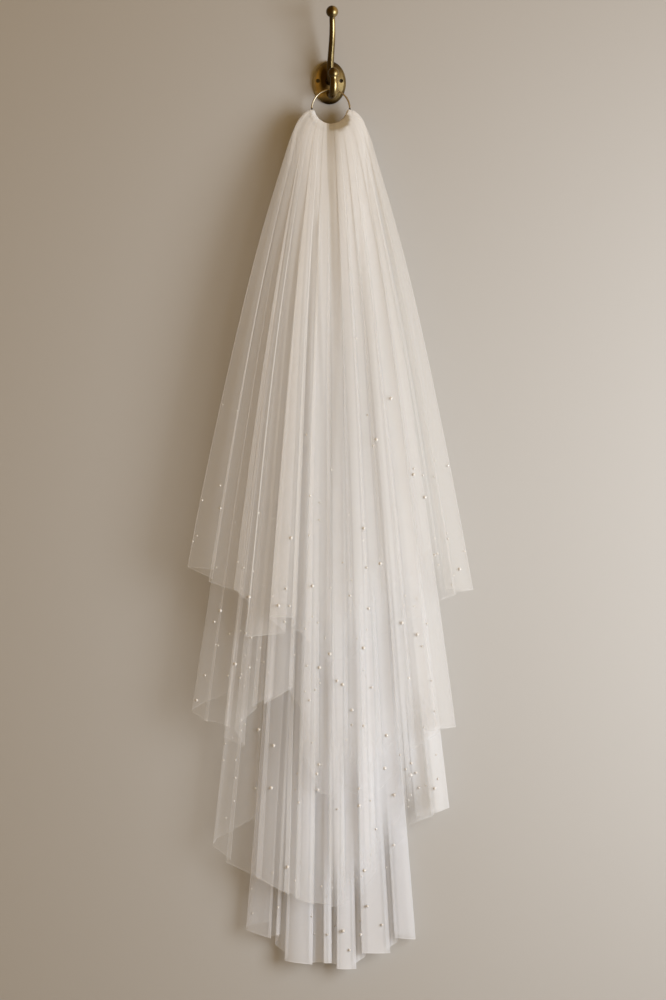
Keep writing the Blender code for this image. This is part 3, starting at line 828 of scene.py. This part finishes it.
def overlap_loss(sheet, corners, reach, softness, count):
    """The share of cover taken off where strips overlap and where one turns into the next, more where soft."""
    per_strip = sheet.shape[1] // count
    x = sheet[..., 0].reshape(len(sheet), count, per_strip)
    before = np.full((len(sheet), count, 1), -1.0)
    after = np.full((len(sheet), count, 1), 1.0)
    before[:, 2:-1, 0] = corners[:, 3:-3:2, 0]
    after[:, 1:-2, 0] = corners[:, 4:-2:2, 0]
    under_left = before - corners[:, 0::2, None, 0]
    under_right = corners[:, 1::2, None, 0] - after
    doubled = np.maximum(
        smoothstep(-MM, MM, before - x) * smoothstep(0, OVERLAP_FADE, under_left),
        smoothstep(-MM, MM, x - after) * smoothstep(0, OVERLAP_FADE, under_right),
    )
    turn = np.zeros((len(sheet), count, per_strip))
    nearing = np.linspace(0, 1, CORNER_POINTS)
    turn[..., :CORNER_POINTS] = nearing[::-1] * smoothstep(*TURN_FROM_TO, under_left / reach[..., None])
    turn[..., -CORNER_POINTS:] = nearing * smoothstep(*TURN_FROM_TO, under_right / reach[..., None])
    doubled = doubled.reshape(sheet.shape[:2])
    turn = turn.reshape(sheet.shape[:2])
    return turn * blend(TURN_LOSS, softness) + (1 - turn) * doubled * blend(OVERLAP_LOSS, softness)


def net_layers(number, sheet, corners, reach, rows, count):
    """How many layers of net each point stands for, and how soft its folds look."""
    hem = sheet[-1, :, 0] / MM
    marks, soft_at = np.array(SOFTNESS, dtype=float).T
    softness = np.interp(hem, marks, soft_at)[None, :] * TIER_SOFTNESS[number]
    softness = softness + (1 - softness) * SOFTNESS_AT_TOP * np.exp(-((rows / SOFTNESS_REACH) ** 2))
    layers = np.array(FULLNESS, dtype=float)
    fullness = np.interp(hem, layers[:, 0], layers[:, number + 1])[None, :]
    return fullness * (1 - overlap_loss(sheet, corners, reach, softness, count)), softness


def small_folds(rows, count, per_strip, random):
    """How far the net stands out from its strips: three slow sines across each, and fine gathers at the top."""
    across = np.tile(np.linspace(0, 1, per_strip), count)
    strip = np.repeat(np.arange(count), per_strip)
    ripple = np.zeros((len(rows), count * per_strip))
    for waves, size in RIPPLES:
        phase = random.uniform(0, 2 * math.pi, count)[strip]
        stretch = random.uniform(*RIPPLE_STRETCH, count)[strip]
        strength = random.uniform(*RIPPLE_STRENGTH, count)[strip]
        ripple += size * strength * np.sin(2 * math.pi * waves * stretch * across + phase + RIPPLE_TURN * rows)
    ripple *= np.sin(np.pi * across) * smoothstep(*FOLDS_OPEN, rows) * MM
    gathers = np.sin(2 * math.pi * GATHERS_A_STRIP * across + GATHERS_SHIFT * strip)
    return (ripple + GATHERS_DEPTH * (np.exp(-rows / GATHERS_REACH) * gathers))[..., None]


def cloth_place(sheet):
    """Each column's place along the hem and each point's way down the cloth, from the sheet's own lengths."""
    hem_step = np.linalg.norm(np.diff(sheet[-1], axis=0), axis=1)
    drop_step = np.linalg.norm(np.diff(sheet, axis=0), axis=2)
    down = np.vstack([np.zeros((1, sheet.shape[1])), np.cumsum(drop_step, axis=0)])
    return np.concatenate([[0.0], np.cumsum(hem_step)]), down


def tier_surface(number, cover_at_top, cover_at_hem):
    """A tier's finished sheet as a grid of points, with its cloth coordinates, cover, softness and shade.

    Cover is 1 - (1 - one layer's cover) to the power of the layers that a point stands for.
    """
    _, strips, low, high, top_radii, left, right, flare = TIERS[number]
    count = len(strips)
    random = np.random.default_rng(SEED + number)
    rows = np.linspace(0, 1, TIER_ROWS)[:, None] ** ROW_POWER
    corners, mean_fall, level = fold_corners(strips, low, high, top_radii, left, right, flare, rows)
    corners = wander(corners, rows, random)
    reach = blend((CORNER_AT_TOP, CORNER_AT_HEM), mean_fall)
    push = np.array((-1.0, 1.0, 0.0))[level] * BOW_AT_HEM
    widths = np.abs([s[1] - s[0] for s in strips]) / FULL_BOW_WIDTH
    bow = push[None, :] * mean_fall**2 * np.minimum(widths, 1.0)[None, :] * rows
    sheet = pleated_sheet(corners, reach, bow)
    per_strip = sheet.shape[1] // count
    fullness, softness = net_layers(number, sheet, corners, reach, rows, count)
    sheet = sheet + sheet_normals(sheet) * small_folds(rows, count, per_strip, random)
    crease = creases(number, sheet)
    sheet[..., 1] += crease * MM
    along_hem, down = cloth_place(sheet)
    fullness = fullness * (1 + streaks(rows, count, per_strip, random) * (STREAK_CRISPNESS - softness))
    hem = sheet[-1, :, 0] / MM
    inside = smoothstep(*HEM_SIDES, np.minimum(hem - hem.min(), hem.max() - hem))[None, :]
    fade = np.minimum(HEM_SOFTNESS[number] * softness, 1.0) * inside
    above_hem = down[-1:] - down
    fullness = fullness * (1 - fade * (1 - smoothstep(HEM_FADE[0] * MM, HEM_FADE[1] * MM, above_hem)))
    cover = 1 - (1 - blend((cover_at_top, cover_at_hem), mean_fall)) ** fullness
    gathered = GATHER_SHADE * np.exp(sheet[..., 2] / MM / GATHER_FADE)
    gathered = gathered * smoothstep(*GATHER_SIDES, sheet[..., 0] / MM)
    shade = np.clip(depth_shade(sheet) + gathered + CREASE_SHADE * np.maximum(crease, 0), 0, 1)
    return sheet, along_hem, down, cover, softness, shade


def make_tier(number, material, settings):
    """Makes a tier's net, with the values that its material reads, and returns its grid of points."""
    name = TIERS[number][0]
    surface = tier_surface(number, settings.gathered_cover, settings.net_cover)
    sheet, along_hem, down, cover, softness, shade = surface
    rows, columns = sheet.shape[:2]
    uv = np.stack([np.broadcast_to(along_hem, (rows, columns)), down], axis=-1)
    width = np.linalg.norm(np.diff(sheet, axis=1), axis=2)
    from_left = np.hstack([np.zeros((rows, 1)), np.cumsum(width, axis=1)])
    from_right = from_left[:, -1:] - from_left
    edge = np.minimum(np.minimum(from_left, from_right), down[-1:] - down)
    least = blend(LEAST_FACING, softness)
    attributes = {"edge": edge, "cover": cover, "least_facing": least, "shade": shade}
    keep = blend(FOLD_SHADING, softness)[..., None]
    soft = unit(sheet_normals(sheet) * np.concatenate([keep, np.ones_like(keep), keep], axis=-1))
    item = make_mesh(
        name + "_net", sheet.reshape(-1, 3), grid_faces(rows, columns), material, uv.reshape(-1, 2), attributes,
        soft.reshape(-1, 3),
    )
    put_in_place(item, name)
    return sheet


def casing_radius(angle):
    """The casing's outer radius at a ring angle, less at its two ends."""
    return blend((CASING_OUTER_AT_ENDS, CASING_OUTER), bulge(angle))


def make_casing(material):
    """The casing: a tube round the ring's wire with uneven gathers, whose ends close onto the wire."""
    shape = (CASING_STEPS, CASING_SIDES)
    random = np.random.default_rng(SEED)
    share = np.linspace(0, 1, CASING_STEPS)[:, None]
    angle = np.radians(blend((CASING_START, CASING_END), share))
    turn = turns(CASING_SIDES)[None, :]
    marks = np.linspace(0, 1, CASING_GATHERS)
    relief = random.uniform(*GATHER_SPAN, CASING_GATHERS)
    gather = np.interp(share[:, 0], marks, relief)[:, None] * GATHER_RELIEF
    closing = np.minimum(np.minimum(share, 1 - share) / CLOSING_SHARE, 1.0)
    radius = CASING_BORE + (casing_radius(angle) - CASING_BORE + gather) * np.sqrt(1 - (1 - closing) ** 2)
    points = tube(angle, turn, radius)
    along = np.broadcast_to(angle * RING_RADIUS * CASING_GATHERING, shape)
    uv = np.stack([along, np.broadcast_to(turn * CASING_OUTER, shape)], axis=-1)
    attributes = {
        "edge": np.full(shape, CASING_EDGE),
        "cover": np.full(shape, CASING_COVER),
        "least_facing": np.full(shape, CASING_LEAST_FACING),
        "shade": depth_shade(points),
    }
    quads = grid_faces(CASING_STEPS, CASING_SIDES, True)
    item = make_mesh("casing_net", points.reshape(-1, 3), quads, material, uv.reshape(-1, 2), attributes)
    put_in_place(item, "gathered_casing")


# Add-on


def colour_setting(name, description, default):
    return FloatVectorProperty(
        name=name, description=description, subtype="COLOR", size=3, min=0.0, max=1.0, default=default
    )


def share_setting(name, description, low, high, default):
    return FloatProperty(
        name=name, description=description, subtype="FACTOR", min=low, max=high, default=default
    )


class VeilSettings(bpy.types.PropertyGroup):
    net_colour: colour_setting("Net Colour", "Colour of the net's threads", (0.97, 0.965, 0.96))
    net_cover: share_setting("Net Cover", "Share of light that one layer of net stops", 0.02, 0.9, 0.17)
    gathered_cover: share_setting(
        "Gathered Cover", "The same where the net is gathered at the ring", 0.02, 0.95, 0.48
    )
    edge_cover: share_setting("Edge Cover", "Extra cover along the net's cut edges", 0.0, 0.9, 0.16)


class PearlSettings(bpy.types.PropertyGroup):
    colour: colour_setting("Pearl Colour", "Colour of the pearls", (0.66, 0.61, 0.54))
    diameter: FloatProperty(
        name="Pearl Diameter", description="Diameter of the usual pearl", subtype="DISTANCE", unit="LENGTH",
        min=0.001, max=0.02, default=0.0039,
    )
    count: IntProperty(
        name="Pearls a Tier", description="How many pearls are scattered on each tier",
        min=0, max=400, default=60,
    )


class HookSettings(bpy.types.PropertyGroup):
    bright: colour_setting("Worn Brass", "Colour of the brass where it is worn bright", (0.58, 0.45, 0.21))
    dark: colour_setting("Brass Patina", "Colour of the brass where it has darkened", (0.24, 0.175, 0.075))
    wire: colour_setting("Gold Wire", "Colour of the ring's wire", (0.56, 0.49, 0.36))
    wire_dark: colour_setting("Dull Wire", "Colour of the wire where it has dulled", (0.27, 0.21, 0.13))


class VEIL_OT_stage(bpy.types.Operator):
    """Makes the wall, the floor, the lights and the camera"""

    bl_idname = "veil.stage"
    bl_label = "Stage"

    def execute(self, context):
        make_stage(context.scene)
        return {"FINISHED"}


class VEIL_OT_hook(bpy.types.Operator):
    """Finishes the wall hook in aged brass"""

    bl_idname = "veil.hook"
    bl_label = "Hook"

    def execute(self, context):
        finish_hook(context.scene.veil_hook)
        return {"FINISHED"}


class VEIL_OT_ring(bpy.types.Operator):
    """Makes the wire ring that the veil hangs from"""

    bl_idname = "veil.ring"
    bl_label = "Ring"

    def execute(self, context):
        hook = context.scene.veil_hook
        make_ring(wire_material("Gold wire", tuple(hook.wire), tuple(hook.wire_dark)))
        return {"FINISHED"}


class VEIL_OT_casing(bpy.types.Operator):
    """Makes the casing, the gathered tube of net round the ring"""

    bl_idname = "veil.casing"
    bl_label = "Casing"

    def execute(self, context):
        make_casing(net_material("Casing net", tuple(context.scene.veil_net.net_colour), 0.0))
        return {"FINISHED"}


class VEIL_OT_tiers(bpy.types.Operator):
    """Makes the four tiers of net and their pearls"""

    bl_idname = "veil.tiers"
    bl_label = "Tiers"

    def execute(self, context):
        make_tiers(context.scene.veil_net, context.scene.veil_pearls)
        return {"FINISHED"}


class VEIL_PT_panel(bpy.types.Panel):
    """Lists the veil's sizes, colours and steps"""

    bl_idname = "VEIL_PT_panel"
    bl_label = "Bridal Veil"
    bl_space_type = "VIEW_3D"
    bl_region_type = "UI"
    bl_category = "Veil"

    def draw(self, context):
        for settings in (context.scene.veil_net, context.scene.veil_pearls, context.scene.veil_hook):
            for key in settings.bl_rna.properties.keys():
                if key not in ("rna_type", "name"):
                    self.layout.prop(settings, key)
        for operator in OPERATORS:
            self.layout.operator(operator.bl_idname)


OPERATORS = (VEIL_OT_stage, VEIL_OT_hook, VEIL_OT_ring, VEIL_OT_casing, VEIL_OT_tiers)
CLASSES = (VeilSettings, PearlSettings, HookSettings, *OPERATORS, VEIL_PT_panel)

# Hook and ring


def triangles(quads):
    return np.vstack([quads[:, (0, 1, 2)], quads[:, (0, 2, 3)]])


def outward(points, faces):
    """The triangles turned to face outwards, by the sign of the volume that they enclose."""
    a, b, c = points[faces[:, 0]], points[faces[:, 1]], points[faces[:, 2]]
    return faces if (a * np.cross(b, c)).sum() > 0 else faces[:, ::-1]


def smooth_rows(rows, times):
    """Puts a point between each two rows, on a cubic through the two on each side."""
    for _ in range(times):
        before = np.vstack([2 * rows[0] - rows[1], rows[:-1]])
        after = np.vstack([rows[1:], 2 * rows[-1] - rows[-2]])
        middles = (9 * (rows[:-1] + rows[1:]) - before[:-1] - after[1:]) / 16
        joined = np.empty((2 * len(rows) - 1, rows.shape[1]))
        joined[0::2] = rows
        joined[1::2] = middles
        rows = joined
    return rows


def put_in_place(item, node):
    """Shows a finished piece in place of its CAD node."""
    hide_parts(node)
    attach(item, "root")


def make_prong(node, stations, ball, material):
    """A rod swept along its stations that ends in a ball: circles by cosine and sine, square to the line."""
    rows = smooth_rows(np.array(stations) * MM, 3)
    centre = np.array(ball[:3]) * MM
    radius = ball[3] * MM
    axis = unit(centre - rows[-1, :3])
    start = math.asin(min(rows[-1, 3] / radius, 1.0))
    turn = np.linspace(start, math.pi - BALL_END, BALL_RINGS)[:, None]
    ball_rows = np.hstack([centre - axis * radius * np.cos(turn), radius * np.sin(turn)])
    line = np.vstack([rows, ball_rows])
    along = np.gradient(line[:, :3], axis=0)
    along[len(rows) - 1 :] = axis
    along[0] = (0.0, -1.0, 0.0)
    along = unit(along)
    side = unit(np.cross(along, (1.0, 0.0, 0.0)))
    other = np.cross(along, side)
    angle = turns(PRONG_SIDES)[None, :, None]
    points = (
        line[:, None, :3]
        + line[:, None, 3:] * np.cos(angle) * side[:, None]
        + line[:, None, 3:] * np.sin(angle) * other[:, None]
    ).reshape(-1, 3)
    ends = len(points) + np.array((0, 1))
    first = np.arange(PRONG_SIDES)
    after = (first + 1) % PRONG_SIDES
    last = (len(line) - 1) * PRONG_SIDES
    caps = [
        np.stack([after, first, np.full(PRONG_SIDES, ends[0])], axis=-1),
        np.stack([last + first, last + after, np.full(PRONG_SIDES, ends[1])], axis=-1),
    ]
    faces = np.vstack([triangles(grid_faces(len(line), PRONG_SIDES, True)), *caps])
    # Painted shade: full on the side facing left, away from the light, and dimming the upper prong's bend.
    to_right = np.cos(angle[..., 0]) * side[:, :1] + np.sin(angle[..., 0]) * other[:, :1]
    painted_shade = 1 - smoothstep(PAINTED_SHADE_FROM, PAINTED_SHADE_TO, to_right)
    bend_shade = BEND_PAINTED_SHADE * np.exp(-(((line[:, 2:3] / MM - BEND_SHADE_HEIGHT) / BEND_SHADE_LENGTH) ** 2))
    painted_shade = np.concatenate([np.maximum(painted_shade, bend_shade).ravel(), (END_PAINTED_SHADE, END_PAINTED_SHADE)])
    points = np.vstack([points, line[0, :3], centre + axis * radius])
    item = make_mesh(node + "_finish", points, outward(points, faces), material, None, {"painted_shade": painted_shade})
    put_in_place(item, node)


def make_ring(material):
    """The ring: circles of wire about the points of a larger circle, by cosine and sine."""
    points = tube(turns(RING_STEPS)[:, None], turns(WIRE_SIDES)[None, :], WIRE_RADIUS).reshape(-1, 3)
    quads = grid_faces(RING_STEPS + 1, WIRE_SIDES, True) % (RING_STEPS * WIRE_SIDES)
    faces = outward(points, triangles(quads))
    put_in_place(make_mesh("hanging_ring_finish", points, faces, material), "hanging_ring")


def finish_hook(settings):
    bright, dark = tuple(settings.bright), tuple(settings.dark)
    brass = prong_material("Aged brass", bright, dark)
    make_prong("hook_upper_prong", UPPER_PRONG, UPPER_BALL, brass)
    make_prong("hook_lower_prong", LOWER_PRONG, LOWER_BALL, brass)
    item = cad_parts["hook_plate"]
    item.data.materials.clear()
    item.data.materials.append(plate_material("Aged brass plate", bright, dark))


# Pearls


def pearl_shape():
    """A small ball: points on five rings of eight by cosine and sine of turn and height, with two poles."""
    turn = turns(PEARL_SIDES)
    height = np.linspace(0, math.pi, PEARL_RINGS + 2)[1:-1, None]
    across = np.sin(height)
    rings = np.stack([across * np.cos(turn), across * np.sin(turn), np.cos(height) + 0 * turn], axis=-1)
    points = np.vstack([rings.reshape(-1, 3), (0, 0, 1), (0, 0, -1)])
    first = np.arange(PEARL_SIDES)
    after = (first + 1) % PEARL_SIDES
    last = (PEARL_RINGS - 1) * PEARL_SIDES
    pole = np.full(PEARL_SIDES, PEARL_RINGS * PEARL_SIDES)
    top = np.stack([first, after, pole], axis=-1)
    bottom = np.stack([last + after, last + first, pole + 1], axis=-1)
    return points, np.vstack([triangles(grid_faces(PEARL_RINGS, PEARL_SIDES, True)[:, ::-1]), top, bottom])


def beads_at(centres, radii):
    """One mesh's points and triangles for balls at the given places."""
    points, faces = pearl_shape()
    placed = centres[:, None] + points[None] * radii[:, None, None]
    offset = (np.arange(len(centres)) * len(points))[:, None, None]
    return placed.reshape(-1, 3), (faces[None] + offset).reshape(-1, 3)


def scatter_pearls(sheet, large, count, spread, diameter, random):
    """Where a tier's pearls sit: the large ones, then others at random, more of them near the hem."""
    rows, columns = sheet.shape[:2]
    share = 1 - np.abs(random.normal(0, spread, count))
    share = np.where(share < PEARLS_BELOW, random.uniform(*PEARLS_INSTEAD, count), share)
    row = np.clip((share ** (1 / ROW_POWER) * (rows - 1)).astype(int), 0, rows - PEARL_MARGIN)
    column = random.integers(PEARL_MARGIN, columns - PEARL_MARGIN, count)
    radius = diameter / 2 * random.choice(PEARL_SIZES, count, p=PEARL_ODDS)
    row = np.concatenate([row, [r for r, c in large]]).astype(int)
    column = np.concatenate([column, [c for r, c in large]]).astype(int)
    radius = np.concatenate([radius, np.full(len(large), diameter / 2 * LARGE_PEARL_SIZE)])
    normals = sheet_normals(sheet)[row, column]
    return sheet[row, column] + normals * radius[:, None] * -np.sign(normals[:, 1:2]), radius


def place_large(sheets):
    """For each tier, the grid points of its large pearls: each goes on the front-most net at its place."""
    found = [[] for _ in sheets]
    for x, drop in LARGE_PEARLS:
        best = None
        for number, sheet in enumerate(sheets):
            off = np.hypot(sheet[..., 0] - x * MM, sheet[..., 2] + drop * MM)
            depth = np.where(off < LARGE_PEARL_REACH, sheet[..., 1], FAR)
            spot = np.unravel_index(np.argmin(depth), depth.shape)
            if best is None or depth[spot] < best[0]:
                best = (depth[spot], number, spot)
        if best[0] < FAR:
            found[best[1]].append(best[2])
    return found


def make_tiers(net, pearls):
    """Makes the four tiers, then sets each tier's pearls on it."""
    pearl = pearl_material("Pearl", tuple(pearls.colour))
    sheets = []
    for number, tier in enumerate(TIERS):
        label = tier[0].replace("_", " ").capitalize() + " net"
        tinted = tuple(c * t for c, t in zip(net.net_colour, TIER_LIGHT_TINTS[number]))
        sheets.append(make_tier(number, net_material(label, tinted, net.edge_cover), net))
    for number, large in enumerate(place_large(sheets)):
        name, width, length, area = TIER_CUTS[number]
        random = np.random.default_rng(PEARL_SEED + number)
        spread = PEARL_SPREAD[number]
        spots = scatter_pearls(sheets[number], large, pearls.count, spread, pearls.diameter, random)
        beads = make_mesh(name + "_pearls", *beads_at(*spots), pearl)
        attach(beads, "root")


# Stage

CAMERA_X = 4.12 * MM
CAMERA_Y = -3.03
CAMERA_Z = -0.5053
LENS = 90.0
SENSOR = 36.0
NEAREST = 0.1
FARTHEST = 50
ROOM_DARK = (0.62, 0.335, 0.075)
ROOM_LIGHT = (1.0, 0.655, 0.21)
ROOM_SEEN = (0.95, 0.91, 0.85)
ROOM_STRENGTH = 0.56
WINDOW_PLACE = (1.05, -1.0, -0.52)
WINDOW_AIM = (0.08, 0.0, -0.50)
WINDOW_WIDTH = 0.8
WINDOW_HEIGHT = 1.1
WINDOW_POWER = 20.9
WINDOW_SPREAD = 150.0
WINDOW_COLOUR = (0.81, 0.89, 1.0)
WALL_COLOUR = (0.42, 0.395, 0.36)
WALL_ROUGHNESS = 0.95
WALL_GLOSS = 0.1
FLOOR_COLOUR = (0.74, 0.80, 0.88)
FLOOR_ROUGHNESS = 0.9
WALL_GAP = 0.0006
WALL_HALF_WIDTH = 4
WALL_TOP = 2.2
FLOOR_HEIGHT = -1.7
FLOOR_HALF_WIDTH = 5
# How many layers of net light may cross.
CLEAR_BOUNCES = 48


def make_plane(name, corners, material):
    return make_mesh(name, np.array(corners), np.array([[0, 1, 2, 3]]), material)


def make_backdrop():
    """A plain wall, clear from behind, and a plain floor."""
    plaster, tree, shader = new_material("Wall")
    feed(tree, shader, {"Base Color": (*WALL_COLOUR, 1.0), "Roughness": WALL_ROUGHNESS})
    feed(tree, shader, {"Specular IOR Level": WALL_GLOSS})
    clear = add_node(tree, "ShaderNodeBsdfTransparent").outputs[0]
    behind = add_node(tree, "ShaderNodeNewGeometry").outputs["Backfacing"]
    mix = add_node(tree, "ShaderNodeMixShader", {0: behind, 1: shader.outputs[0], 2: clear}).outputs[0]
    feed(tree, tree.nodes["Material Output"], {"Surface": mix})
    bottom, wide, y = FLOOR_HEIGHT, WALL_HALF_WIDTH, WALL_GAP
    wall = make_plane(
        "wall", [(-wide, y, bottom), (wide, y, bottom), (wide, y, WALL_TOP), (-wide, y, WALL_TOP)], plaster
    )
    ground, tree, shader = new_material("Floor")
    feed(tree, shader, {"Base Color": (*FLOOR_COLOUR, 1.0), "Roughness": FLOOR_ROUGHNESS})
    far = FLOOR_HALF_WIDTH
    floor = make_plane(
        "floor", [(-far, -far, bottom), (far, -far, bottom), (far, far, bottom), (-far, far, bottom)], ground
    )


def make_room(scene):
    """The room's soft light: darker and warmer from the left than the right, and plain to the camera."""
    world = bpy.data.worlds.new("Soft room")
    world.use_nodes = True
    tree = world.node_tree
    way = add_node(tree, "ShaderNodeTexCoord").outputs["Generated"]
    side = add_node(tree, "ShaderNodeSeparateXYZ", {0: way}).outputs[0]
    room = mix_colour(tree, remap(tree, side, -1.0, 1.0, 0.0, 1.0), ROOM_DARK, ROOM_LIGHT)
    seen = add_node(tree, "ShaderNodeLightPath").outputs["Is Camera Ray"]
    room = mix_colour(tree, seen, room, ROOM_SEEN)
    feed(tree, tree.nodes["Background"], {"Color": room, "Strength": ROOM_STRENGTH})
    scene.world = world


def make_window(scene):
    """The window: a large soft light from the right."""
    lamp = bpy.data.lights.new("window", "AREA")
    lamp.shape = "RECTANGLE"
    lamp.size = WINDOW_WIDTH
    lamp.size_y = WINDOW_HEIGHT
    lamp.energy = WINDOW_POWER
    lamp.spread = math.radians(WINDOW_SPREAD)
    lamp.color = WINDOW_COLOUR
    item = bpy.data.objects.new("window", lamp)
    item.location = WINDOW_PLACE
    item.rotation_mode = "QUATERNION"
    item.rotation_quaternion = (Vector(WINDOW_AIM) - Vector(WINDOW_PLACE)).to_track_quat("-Z", "Y")
    item.visible_camera = False
    scene.collection.objects.link(item)


def make_camera(scene):
    camera = bpy.data.cameras.new("camera")
    camera.lens = LENS
    camera.sensor_width = SENSOR
    camera.clip_start = NEAREST
    camera.clip_end = FARTHEST
    eye = bpy.data.objects.new("camera", camera)
    eye.location = (CAMERA_X, CAMERA_Y, CAMERA_Z)
    eye.rotation_euler = (math.pi / 2, 0, 0)
    scene.collection.objects.link(eye)
    scene.camera = eye


def make_stage(scene):
    make_backdrop()
    make_room(scene)
    make_window(scene)
    make_camera(scene)
    scene.cycles.transparent_max_bounces = CLEAR_BOUNCES
    scene.view_settings.view_transform = "Standard"


def register():
    for item in CLASSES:
        bpy.utils.register_class(item)
    bpy.types.Scene.veil_net = PointerProperty(type=VeilSettings)
    bpy.types.Scene.veil_pearls = PointerProperty(type=PearlSettings)
    bpy.types.Scene.veil_hook = PointerProperty(type=HookSettings)


def unregister():
    del bpy.types.Scene.veil_hook
    del bpy.types.Scene.veil_pearls
    del bpy.types.Scene.veil_net
    for item in reversed(CLASSES):
        bpy.utils.unregister_class(item)


def main():
    register()
    bpy.ops.veil.stage()
    bpy.ops.veil.hook()
    bpy.ops.veil.ring()
    bpy.ops.veil.casing()
    bpy.ops.veil.tiers()


if __name__ == "__main__":
    main()
